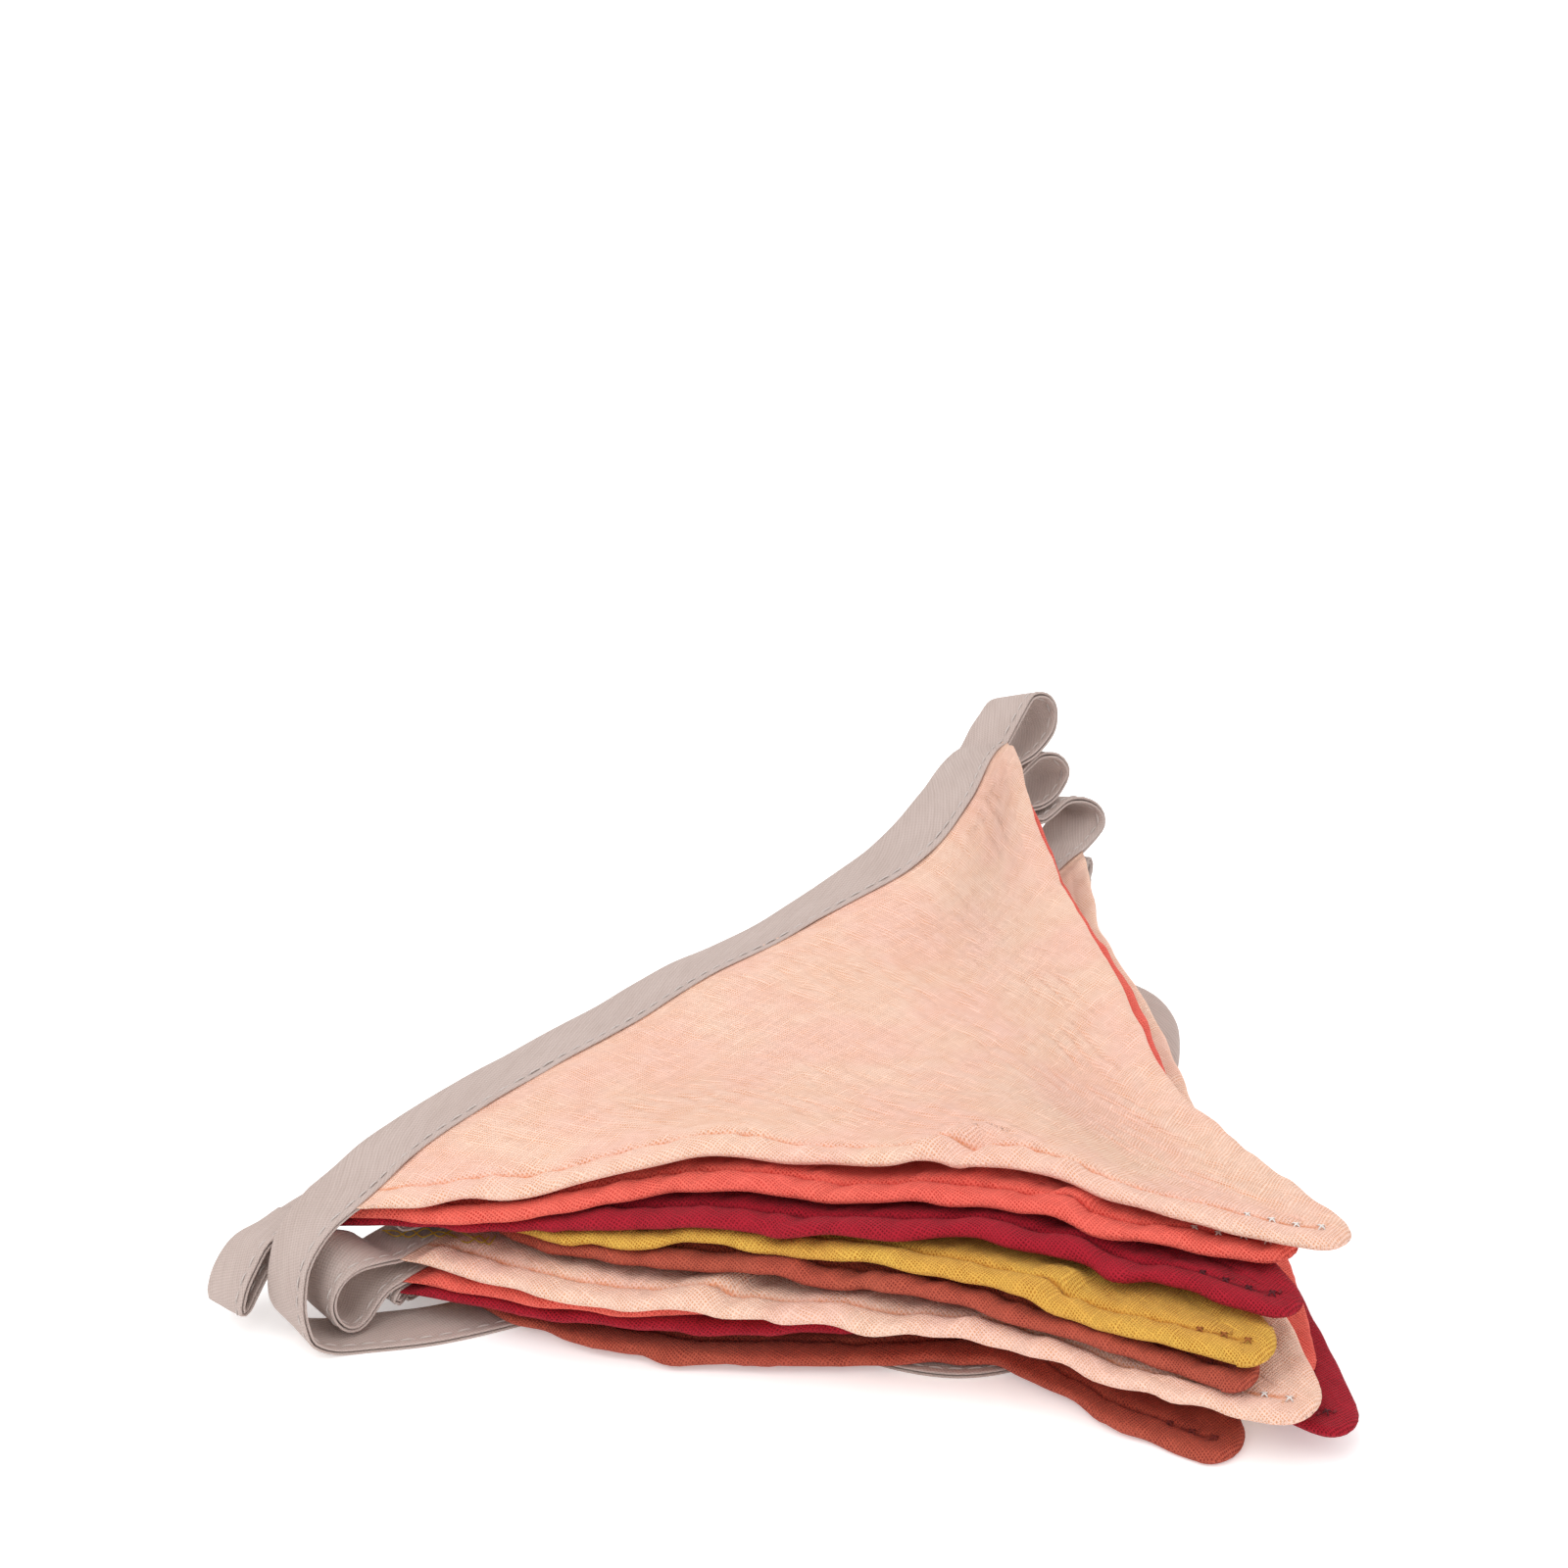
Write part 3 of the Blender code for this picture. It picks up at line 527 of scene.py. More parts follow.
class Shader:
    """The node tree of one material, filled by expressions."""

    def __init__(self, name: str) -> None:
        """Start a material with its Principled shader.

        Args:
            name: the material's name.
        """
        self.material = bpy.data.materials.new(name)
        self.material.use_nodes = True
        self.tree = self.material.node_tree
        self.surface = self.tree.nodes["Principled BSDF"]

    def add(self, kind: str, settings: dict, sockets: dict, out: Union[str, int] = 0) -> Value:
        """Add one node.

        Args:
            kind: the node's type.
            settings: the node's own properties, which are set first.
            sockets: values or links, by the input's name or number.
            out: the output's name or number.

        Returns:
            The chosen output.
        """
        node = self.tree.nodes.new(kind)
        for name, setting in settings.items():
            setattr(node, name, setting)
        for name, value in sockets.items():
            self.connect(node.inputs[name], value)
        return Value(self, node.outputs[out])

    def connect(self, socket: bpy.types.NodeSocket, value: Input) -> None:
        """Link a value to a socket, or set it there.

        Args:
            socket: the input.
            value: an expression, or the constant that is set.
        """
        if isinstance(value, Value):
            self.tree.links.new(value.socket, socket)
        else:
            socket.default_value = value

    def map_place(self, name: str) -> tuple[Value, Value]:
        """The two numbers of a named UV map, in its own units.

        Args:
            name: the map's name.

        Returns:
            The first and the second number.
        """
        place = self.add("ShaderNodeUVMap", {"uv_map": name}, {})
        first = self.add("ShaderNodeSeparateXYZ", {}, {0: place}, "X")
        return first, Value(self, first.socket.node.outputs["Y"])

    def noise(self, x: Input, y: Input, detail: float = 2.0) -> Value:
        """Soft noise, about one unit to a bump.

        Args:
            x: the place, in bumps.
            y: the place the other way.
            detail: how many finer layers it has.

        Returns:
            The noise, around 0.5.
        """
        place = self.add("ShaderNodeCombineXYZ", {}, {0: x, 1: y})
        sockets = {"Vector": place, "Scale": 1.0, "Detail": detail}
        return self.add("ShaderNodeTexNoise", {"noise_dimensions": "2D"}, sockets)

    def mix(self, factor: Input, first: Input, second: Input) -> Value:
        """Mix two colours.

        Args:
            factor: 0 for the first colour and 1 for the second.
            first: a colour.
            second: the other colour.

        Returns:
            The mixed colour.
        """
        sockets = {MIX_FACTOR: factor, MIX_FIRST: opaque(first), MIX_SECOND: opaque(second)}
        return self.add("ShaderNodeMix", {"data_type": "RGBA"}, sockets, MIX_RESULT)

    def constants(self, **values: Union[float, tuple]) -> None:
        """Set constants of the Principled shader, by the input's name with underscores."""
        for name, value in values.items():
            self.surface.inputs[name.replace("_", " ")].default_value = value

    def finish(self, colour: Input, rough: Input, height: Optional[Value], depth: float) -> None:
        """Feed the Principled shader.

        Args:
            colour: the base colour.
            rough: the roughness.
            height: relief between 0 and 1, or None.
            depth: depth of the relief, in metres.
        """
        self.connect(self.surface.inputs["Base Color"], opaque(colour))
        self.connect(self.surface.inputs["Roughness"], rough)
        if height is not None:
            sockets = {"Strength": 1.0, "Distance": depth, "Height": height}
            bump = self.add("ShaderNodeBump", {}, sockets)
            self.connect(self.surface.inputs["Normal"], bump)


def opaque(colour: Input) -> Input:
    """Give a plain colour its alpha."""
    return colour if isinstance(colour, Value) else (*colour, 1.0)


def blended(first: Colour, second: Colour, share: float) -> Colour:
    """Mix two plain colours."""
    return tuple(a + (b - a) * share for a, b in zip(first, second))


def interlaced(across: Value, down: Value, pitches: Place, dip: float) -> tuple[Value, ...]:
    """A plain weave, whose threads pass over and under each other by turns.

    Args:
        across: place across the warp threads, in millimetres.
        down: place across the weft threads.
        pitches: distance between warp threads and between weft threads.
        dip: how far a thread sinks where it passes under, as a share of its height.

    Returns:
        The weave's height, and one in the middle of each warp thread and each weft thread.
    """
    warp, weft = across.wave(pitches[0]), down.wave(pitches[1])
    over = across.parity(pitches[0]) * down.parity(pitches[1]) * dip
    height = (warp * (1.0 - dip + over)).highest(weft * (1.0 - dip - over))
    return height, warp, weft


@dataclass(frozen=True)
class Mottle:
    """Soft blots: blots per millimetre both ways, detail, the noise they rise over, shift."""

    across: float
    down: float
    detail: float
    low: float
    high: float
    shift: float = 0.0

    def strength(self, shader: Shader, x: Value, y: Value) -> Value:
        """How strong the blots are at a place, from 0 to 1."""
        noise = shader.noise(x * self.across + self.shift, y * self.down, self.detail)
        return noise.between(self.low, self.high)


# ---- finishes ------------------------------------------------------------------------
@dataclass(frozen=True)
class Gauze:
    """Open double gauze: a plain weave whose holes are painted in the dark colour, as the shade
    on the second ply seen through them.

    The tints are the strengths with which grain, patches, troughs and seam are coloured; the
    troughs take painted shade, and the seam its thread's colour with painted shade in the sewn
    groove. grain_depth and the troughs' shade depth say how deep the colours are that grain and
    troughs take.
    """

    slot: str
    thread: Colour
    # The dark colour is painted shade in holes, troughs and on the hem thread, and also the
    # grain's darker tone.
    deep: Colour
    # The seam colour is the topstitch thread with the painted shade of its sewn groove.
    seam: Colour
    pitch: float = 0.52
    relief: float = 0.00020
    dip: float = 0.28
    wander: float = 0.7
    wander_scales: Place = (0.5, 0.12)
    wander_shift: float = 40.0
    hole_edge: Place = (0.08, 0.6)
    hole_shares: Place = (0.55, 0.45)
    looseness: Mottle = Mottle(0.22, 0.22, 3.0, 0.32, 0.7)
    grain: Mottle = Mottle(1.1, 1.1, 4.0, 0.36, 0.72)
    patches: Mottle = Mottle(0.05, 0.05, 2.0, 0.3, 0.7, 9.0)
    flush: Colour = (1.0, 0.86, 0.92)
    grain_tint: float = 0.2
    grain_depth: float = 0.3
    patch_tint: float = 0.6
    trough_shade_tint: float = 0.28
    trough_shade_depth: float = 0.6
    seam_and_shade_tint: float = 0.85
    seam_wander: float = 0.5
    seam_shares: Place = (0.6, 0.4)
    grain_relief: float = 0.35
    ridge_relief: float = 2.6
    ridge_scales: Place = (0.24, 0.05)
    ridge_slant: float = 0.04
    roughness: float = 0.88
    grain_roughness: float = 0.1

    def weave(self, shader: Shader, x: Value, y: Value) -> tuple[Value, Value]:
        """The weave, whose threads wander a little.

        Args:
            shader: the material's nodes.
            x: place across the warp, in millimetres.
            y: place across the weft.

        Returns:
            Height of the threads, and how far a hole lies open.
        """
        fast, slow = self.wander_scales
        stray_x = shader.noise(x * fast, y * slow) - 0.5
        stray_y = shader.noise(x * slow + self.wander_shift, y * fast) - 0.5
        across, down = x + stray_x * self.wander, y + stray_y * self.wander
        height, warp, weft = interlaced(across, down, (self.pitch, self.pitch), self.dip)
        opening = ((1.0 - warp) * (1.0 - weft)).between(*self.hole_edge)
        least, more = self.hole_shares
        return height, opening * (least + self.looseness.strength(shader, x, y) * more)

    def stitch_and_groove_shade(self, shader: Shader) -> Value:
        """The front hem's topstitch as it marks the cloth, from the map "hem": the thread's
        colour, with painted shade in the sewn groove.

        Args:
            shader: the material's nodes.

        Returns:
            Strength of the tint.
        """
        edge, along = shader.map_place("hem")
        line = edge + (shader.noise(along * 0.35, 3.0) - 0.5) * self.seam_wander
        least, more = self.seam_shares
        between_holes = least + (1.0 - along.wave(STITCH_PITCH)) * more
        return line.near(HEM_STITCH, GROOVE_WIDTH) * between_holes

    def material(self) -> bpy.types.Material:
        """Make the gauze's material.

        Returns:
            The material, for a mesh with the maps "weave", "hem" and "relief".
        """
        shader = Shader(f"{self.slot}_gauze")
        x, y = shader.map_place("weave")
        trough, _ = shader.map_place("relief")
        height, hole = self.weave(shader, x, y)
        grain = self.grain.strength(shader, x, y)
        patch = self.patches.strength(shader, x, y)
        flushed = tuple(part * share for part, share in zip(self.thread, self.flush))
        shaded = blended(self.thread, self.deep, self.grain_depth)
        trough_shade_colour = blended(self.thread, self.deep, self.trough_shade_depth)
        colour = shader.mix(grain * self.grain_tint, self.thread, shaded)
        colour = shader.mix(patch * self.patch_tint, colour, flushed)
        # Painted shade: the cloth is darker in the crinkles' troughs and in the trough creases.
        colour = shader.mix(trough * self.trough_shade_tint, colour, trough_shade_colour)
        # Painted shade: the open holes take the dark colour.
        colour = shader.mix(hole, colour, self.deep)
        # The topstitch line: thread colour, with painted shade in the sewn groove.
        colour = shader.mix(self.stitch_and_groove_shade(shader) * self.seam_and_shade_tint, colour, self.seam)
        scale_x, scale_y = self.ridge_scales
        ridge = shader.noise(x * scale_x + y * self.ridge_slant, y * scale_y, 1.0)
        relief = height + grain * self.grain_relief + ridge * self.ridge_relief
        shader.constants(Specular_IOR_Level=0.12, Sheen_Weight=0.04, Sheen_Roughness=0.6)
        rough = self.roughness + grain * self.grain_roughness
        shader.finish(colour, rough, relief, self.relief)
        return shader.material


@dataclass(frozen=True)
class TapeCloth:
    """Closely woven cotton of the bias tape, whose threads run slantwise."""

    slot: str = "taupe"
    thread: Colour = (0.58, 0.475, 0.437)
    # The dark colour: painted shade in the weave's gaps, and the darker tone of slubs and
    # patches.
    deep: Colour = (0.30, 0.215, 0.18)
    pitch: float = 0.5
    weft_pitch: float = 0.575
    relief: float = 0.00010
    dip: float = 0.3
    bias: Place = (0.92, 0.39)
    wander: float = 0.3
    wander_scale: float = 0.25
    slubs: Mottle = Mottle(0.12, 1.6, 3.0, 0.35, 0.75)
    slub_tint: float = 0.12
    patches: Mottle = Mottle(0.05, 0.2, 2.0, 0.3, 0.7)
    patch_tint: float = 0.5
    patch_depth: float = 0.18
    gap_shade: float = 0.45
    roughness: float = 0.82

    def material(self) -> bpy.types.Material:
        """Make the tape's material.

        Returns:
            The material, for a mesh whose map "weave" lies along and across the tape.
        """
        shader = Shader(f"{self.slot}_tape")
        along, across = shader.map_place("weave")
        ahead, aside = self.bias
        scale = self.wander_scale
        stray = (shader.noise(along * scale, across * scale) - 0.5) * self.wander
        slant = along * ahead + across * aside + stray
        other = across * ahead - along * aside + stray
        height, _, _ = interlaced(slant, other, (self.pitch, self.weft_pitch), self.dip)
        slub = self.slubs.strength(shader, slant, other)
        patch = self.patches.strength(shader, along, across)
        worn = blended(self.thread, self.deep, self.patch_depth)
        base = shader.mix(patch * self.patch_tint, self.thread, worn)
        # Painted shade in the gaps between threads, with the slubs' own darker tone.
        shade = (1.0 - height) * self.gap_shade + slub * self.slub_tint
        shader.constants(Specular_IOR_Level=0.2, Sheen_Weight=0.03)
        shader.finish(shader.mix(shade, base, self.deep), self.roughness, height, self.relief)
        return shader.material


@dataclass(frozen=True)
class SewingThread:
    """Twisted sewing thread of one colour."""

    name: str
    colour: Colour
    roughness: float = 0.7
    twist: Place = (1.6, 0.6)
    twist_pitch: float = 0.5
    shade: float = 0.35
    relief: float = 0.00004

    def material(self) -> bpy.types.Material:
        """Make the thread's material, darker between its strands.

        Returns:
            The material, for a mesh whose map "weave" lies along and round the thread.
        """
        shader = Shader(f"{self.name}_thread")
        along, round_it = shader.map_place("weave")
        twist = (along * self.twist[0] + round_it * self.twist[1]).wave(self.twist_pitch)
        tint = blended(self.colour, (0.0, 0.0, 0.0), self.shade)
        colour = shader.mix(twist * self.shade, self.colour, tint)
        shader.finish(colour, self.roughness, twist, self.relief)
        return shader.material


@dataclass(frozen=True)
class PalePaint:
    """The plain floor's matt finish, which glows a little: painted light that keeps it pale and
    the shadows on it faint.
    """

    colour: Colour = (0.93, 0.93, 0.93)
    glow: float = 0.32
    roughness: float = 0.8
    unevenness: float = 0.1
    cloud_scale: float = 6.0

    def material(self) -> bpy.types.Material:
        """Make the floor's material.

        Returns:
            The material, a little uneven in its gloss.
        """
        shader = Shader("pale_floor")
        place = shader.add("ShaderNodeTexCoord", {}, {}, "Object")
        sockets = {"Vector": place, "Scale": self.cloud_scale}
        cloud = shader.add("ShaderNodeTexNoise", {}, sockets)
        # Painted light: the floor glows, which fades the shadows cast on it.
        shader.constants(Emission_Color=opaque(self.colour), Emission_Strength=self.glow)
        rough = self.roughness + cloud * self.unevenness
        shader.finish(self.colour, rough, None, 0.0)
        return shader.material


class Tone(Enum):
    """The cloth colours of the flags."""

    PEACH = "peach"
    CORAL = "coral"
    BURGUNDY = "burgundy"
    MUSTARD = "mustard"
    RUST = "rust"


GAUZES = {
    Tone.PEACH: Gauze("peach", (0.945, 0.67, 0.54), (0.76, 0.36, 0.20), (0.76, 0.25, 0.10)),
    Tone.CORAL: Gauze("coral", (0.90, 0.165, 0.12), (0.56, 0.04, 0.027), (0.52, 0.03, 0.022)),
    Tone.BURGUNDY: Gauze("burgundy", (0.42, 0.014, 0.030), (0.15, 0.003, 0.008),
                         (0.12, 0.003, 0.008)),
    Tone.MUSTARD: Gauze("mustard", (0.78, 0.47, 0.085), (0.42, 0.15, 0.012),
                        (0.45, 0.15, 0.01)),
    Tone.RUST: Gauze("rust", (0.50, 0.105, 0.062), (0.22, 0.026, 0.018), (0.20, 0.022, 0.015)),
}
# Colour of the crossed stitches near the tips, for the gauze they are sewn in: light thread on
# peach and coral, and on burgundy, mustard and rust the gauze's dark colour, as painted shade of
# the stitch holes.
TIP_THREADS = {
    Tone.PEACH: (0.95, 0.90, 0.86),
    Tone.CORAL: (0.93, 0.72, 0.66),
    Tone.BURGUNDY: (0.10, 0.004, 0.012),
    Tone.MUSTARD: (0.42, 0.13, 0.02),
    Tone.RUST: (0.20, 0.02, 0.016),
}
# How far the hem thread's colour is from the gauze's deep colour towards its thread: the thread
# is painted darker than its cloth, as the shade in the sewn groove.
HEM_THREAD_SHARE = 0.25
LOOSE_THREAD_COLOUR = (0.80, 0.50, 0.06)


# ---- meshes --------------------------------------------------------------------------
@dataclass
class MeshParts:
    """Points, faces and three maps of a mesh that grows piece by piece."""

    points: list
    faces: list
    weave: list
    hem: list
    relief: list

    @classmethod
    def empty(cls) -> "MeshParts":
        """Start with nothing."""
        return cls([], [], [], [], [])

    def extend(self, points: Array, faces: Iterable[Sequence[int]], weave: Array,
               hem: Optional[Array] = None, relief: Optional[Array] = None) -> None:
        """Add points and the faces between them.

        Args:
            points: places in millimetres, one row each.
            faces: corner numbers, counted from the first of these points.
            weave: pattern place of every point.
            hem: distance from the free edge and place along it, of every point.
            relief: depth in a crease, from 0 to 1, of every point, which the gauze darkens as
                painted shade.
        """
        base = len(self.points)
        self.points.extend(points.tolist())
        self.faces.extend([base + corner for corner in face] for face in faces)
        self.weave.extend(weave.tolist())
        self.hem.extend((weave if hem is None else hem).tolist())
        self.relief.extend((0.0 * weave if relief is None else relief).tolist())

    def piece(self, name: str, material: bpy.types.Material) -> bpy.types.Object:
        """Make the object, moved from the tables' place to the frame's origin.

        Args:
            name: the piece's name.
            material: its finish.

        Returns:
            The object, smooth shaded, linked to the scene.
        """
        mesh = bpy.data.meshes.new(name)
        places = (np.array(self.points) - np.array(ORIGIN)) * MM
        mesh.from_pydata(places.tolist(), [], self.faces)
        corners = np.zeros(len(mesh.loops), int)
        mesh.loops.foreach_get("vertex_index", corners)
        maps = {"weave": self.weave, "hem": self.hem, "relief": self.relief}
        for label, rows in maps.items():
            layer = mesh.uv_layers.new(name=label)
            layer.uv.foreach_set("vector", np.array(rows, float)[corners].ravel())
        shell = bmesh.new()
        shell.from_mesh(mesh)
        bmesh.ops.recalc_face_normals(shell, faces=shell.faces)
        shell.to_mesh(mesh)
        shell.free()
        mesh.shade_smooth()
        mesh.materials.append(material)
        made = bpy.data.objects.new(name, mesh)
        bpy.context.scene.collection.objects.link(made)
        return made


def ring_faces(rings: int, size: int) -> list[tuple[int, ...]]:
    """Quads between rings of equal size that follow each other, with both ends capped.

    Args:
        rings: how many rings there are.
        size: points in a ring.

    Returns:
        Corner numbers of every face.
    """
    faces = []
    for start in range(0, (rings - 1) * size, size):
        for place in range(size):
            beside = (place + 1) % size
            faces.append((start + place, start + beside, start + size + beside,
                          start + size + place))
    faces.append(tuple(reversed(range(size))))
    faces.append(tuple((rings - 1) * size + place for place in range(size)))
    return faces


def add_strand(parts: MeshParts, path: Array, radii: Array) -> None:
    """Add a round strand along a path.

    Args:
        parts: the mesh that it joins.
        path: points of its middle line.
        radii: radius at every point.
    """
    ahead = unit(np.gradient(path, axis=0))
    aside = unit(np.cross(ahead, NEARLY_UP))
    above = np.cross(aside, ahead)
    turns = np.arange(STRAND_SIDES) * (2.0 * math.pi / STRAND_SIDES)
    offsets = aside[:, None] * np.cos(turns)[:, None] + above[:, None] * np.sin(turns)[:, None]
    points = path[:, None] + offsets * radii[:, None, None]
    weave = np.stack(np.broadcast_arrays(length_along(path)[:, None], turns[None, :]), -1)
    faces = ring_faces(len(path), STRAND_SIDES)
    parts.extend(points.reshape(-1, 3), faces, weave.reshape(-1, 2))


@dataclass(frozen=True)
class Stitch:
    """How one kind of stitch is sewn, in millimetres; its ends are thinner by a share."""

    length: float
    gap: float
    radius: float
    rise: float
    end_share: float = 0.55
    points: int = 6

    def sew(self, parts: MeshParts, line: Array, up: Array) -> None:
        """Sew stitches end to end along a line on the cloth.

        Args:
            parts: the mesh that the stitches join.
            line: points on the cloth, close together.
            up: unit vectors out of the cloth.
        """
        place = length_along(line)
        pitch = self.length + self.gap
        shares = np.linspace(0.0, 1.0, self.points)
        bow = np.sin(shares * math.pi) ** 0.5
        lift = self.rise * bow - self.radius * (1.0 - bow)
        radii = self.radius * (self.end_share + (1.0 - self.end_share) * bow)
        for number in range(int((place[-1] - self.gap) // pitch)):
            reads = self.gap + number * pitch + shares * self.length
            middle, out = read_rows(reads, place, line), read_rows(reads, place, up)
            add_strand(parts, middle + out * lift[:, None], radii)


# ---- the pile ------------------------------------------------------------------------
class Pile:
    """The shape that the ten layers share: plans, heights and the tape's way round."""

    def __init__(self) -> None:
        """Work out where the free ends of the tape lie on the ground."""
        grounded = []
        for rows in (TOP_END[TOP_END_GROUND:], BOTTOM_END[BOTTOM_END_GROUND:]):
            points = np.array([row[:2] for row in rows])
            outer = np.array([bearing(row[3], 0.0)[:2] for row in rows])
            middle = points + outer * 0.5 * TAPE_WIDTH
            reads = np.linspace(0, len(rows) - 1, END_COVER_READS * len(rows))
            grounded.append(read_rows(reads, range(len(rows)), middle))
        self.ends = np.concatenate(grounded)

    @staticmethod
    def bell(x: Array, y: Array, place: Place) -> Array:
        """Weight of a place: one there, falling off around it."""
        return np.exp(-((x - place[0]) ** 2 + (y - place[1]) ** 2) / (2.0 * HEIGHT_SPREAD ** 2))

    def sag(self, index: int, x: Array, y: Array) -> Array:
        """Share by which a layer is lower outside its spine, where the tape hangs over.

        Args:
            index: the layer, counted from the ground.
            x: places to the right.
            y: places away from the viewer.

        Returns:
            Shares, zero well inside the spine.
        """
        start = np.array(SPINE_NEAR)
        along = np.array(SPINE_FAR) - start
        share = ((x - start[0]) * along[0] + (y - start[1]) * along[1]) / along.dot(along)
        outward = (along[0] * (y - start[1]) - along[1] * (x - start[0])) / np.hypot(*along)
        beyond = np.maximum(0.0, outward + SPINE_FALL_START)
        curved = 0.5 * beyond * beyond / SPINE_FALL_ROUND
        fall = np.where(beyond < SPINE_FALL_ROUND, curved, beyond - 0.5 * SPINE_FALL_ROUND)
        strength = TOP_SPINE_FALL if index == len(LAYERS) - 1 else SPINE_FALL
        return table_value(strength, share) * fall

    @staticmethod
    def ripple(x: Array, y: Array) -> Array:
        """Soft waves that every layer shares.

        Args:
            x: places to the right.
            y: places away from the viewer.

        Returns:
            The waves, between -1 and 1.
        """
        turn = 2.0 * math.pi / RIPPLE_LENGTH
        across = np.sin(turn * (x + RIPPLE_SKEW * y) + RIPPLE_START)
        return across * np.cos(turn * RIPPLE_CROSS * (y - RIPPLE_SKEW * x))

    def end_cover(self, x: Array, y: Array) -> Array:
        """Height to which the lowest flag is lifted over a free end of the tape.

        Args:
            x: places to the right.
            y: places away from the viewer.

        Returns:
            Heights in millimetres.
        """
        flat_x, flat_y = np.ravel(x), np.ravel(y)
        nearest = np.full(flat_x.shape, np.inf)
        for place_x, place_y in self.ends:
            nearest = np.minimum(nearest, np.hypot(flat_x - place_x, flat_y - place_y))
        cover = 1.0 - smooth_step(END_COVER_FLAT, END_COVER_REACH, nearest)
        return (END_COVER_HEIGHT * cover).reshape(np.shape(x))

    def underside(self, index: int, x: Array, y: Array) -> Array:
        """Height of a layer's underside over plan points.

        Args:
            index: the layer, counted from the ground.
            x: places to the right.
            y: places away from the viewer.

        Returns:
            Heights in millimetres.
        """
        if index == 0:
            return self.end_cover(x, y)
        layer = LAYERS[index]
        pairs = [
            (self.bell(x, y, NEAR_PLACE), layer.near_height),
            (self.bell(x, y, FAR_PLACE), layer.far_height),
            (self.bell(x, y, TIP_PLACE), layer.tip_height),
        ]
        for place_x, place_y, share in BODY_PLACES:
            pairs.append((self.bell(x, y, (place_x, place_y)), layer.body_height * share))
        total = sum(weight for weight, _ in pairs)
        height = sum(weight * value for weight, value in pairs) / total
        low = 1.0 - self.sag(index, x, y)
        return height * low * (1.0 + RIPPLE_SHARE * self.ripple(x, y))

    @staticmethod
    def kept(down: Array) -> Array:
        """Share of a flag's depth, with the blunt tip pressed together."""
        blunt = BLUNT_FROM + (down - BLUNT_FROM) * BLUNT_SHARE
        return np.where(down > BLUNT_FROM, blunt, down)

    @staticmethod
    def tip_shape(down: Array) -> tuple[Array, Array]:
        """Distance from the blunt tip's end, and half of its width, in millimetres."""
        depth = np.maximum(0.0, (1.0 - down) * BLUNT_SHARE * FLAG_DEPTH)
        return depth, np.sqrt(np.maximum(0.0, depth * (2.0 * TIP_RADIUS - depth)))

    @staticmethod
    def plan(index: int, across: Array, down: Array) -> Array:
        """Plan points of a flag.

        Args:
            index: the layer, counted from the ground.
            across: 0 on the front edge and 1 on the back edge.
            down: 0 on the tape and 1 at the tip.

        Returns:
            Points, two numbers each.
        """
        layer = LAYERS[index]
        near, far, tip = (np.array(place) for place in (layer.near, layer.far, layer.tip))
        length = float(np.hypot(*(far - near)))
        blunt = down > BLUNT_FROM
        kept = Pile.kept(down)
        _, rounded = Pile.tip_shape(down)
        lean = (across - 0.5) * 2.0 * rounded / length
        near_share = np.where(blunt, 0.5 * (1.0 - kept) - lean, (1.0 - across) * (1.0 - down))
        far_share = np.where(blunt, 0.5 * (1.0 - kept) + lean, across * (1.0 - down))
        point = (near * near_share[..., None] + far * far_share[..., None]
                 + tip * kept[..., None])
        sides = (
            (layer.front, near, tip, near_share, kept, far_share, -1.0),
            (layer.back, far, tip, far_share, kept, near_share, 1.0),
            (layer.spine, near, far, near_share, far_share, kept, 1.0),
        )
        for wave, start, end, start_share, end_share, away, side in sides:
            way = (end - start) / np.hypot(*(end - start))
            outward = np.array((-way[1], way[0])) * side
            total = start_share + end_share
            share = end_share / np.maximum(total, NO_SHARE)
            fade = hump(away * FLAG_DEPTH, 0.0, EDGE_REACH) * (total > NO_SHARE)
            point = point + outward * (curve_value(wave, share) * fade)[..., None]
        return point

    def spine_station(self, index: int, share: float) -> tuple[Array, Array]:
        """The tape at a place of a flag's top edge.

        Args:
            index: the layer, counted from the ground.
            share: the place, as a share of the edge's length.

        Returns:
            The tape's stitched edge, and the unit vector from it to the outer edge.
        """
        reads = np.clip(share + SPINE_PROBE * np.array((-1.0, 0.0, 1.0)), 0.0, 1.0)
        behind, point, ahead = self.plan(index, reads, np.zeros(3))
        way = unit(ahead - behind)
        outward = np.array((-way[1], way[0]))
        inner = point + outward * SEAM_GAP
        outer = inner + outward * TAPE_WIDTH
        start = np.array((*inner, self.underside(index, *inner) + TAPE_REST_HEIGHT))
        end = np.array((*outer, self.underside(index, *outer) + TAPE_REST_HEIGHT))
        return start, unit(end - start)


# ---- the tape ------------------------------------------------------------------------
@dataclass(frozen=True)
class Station:
    """A row of the tape: stitched edge, way to the outer edge, and flag it is sewn to."""

    point: Array
    side: Array
    flag: int = -1
    share: float = 0.0


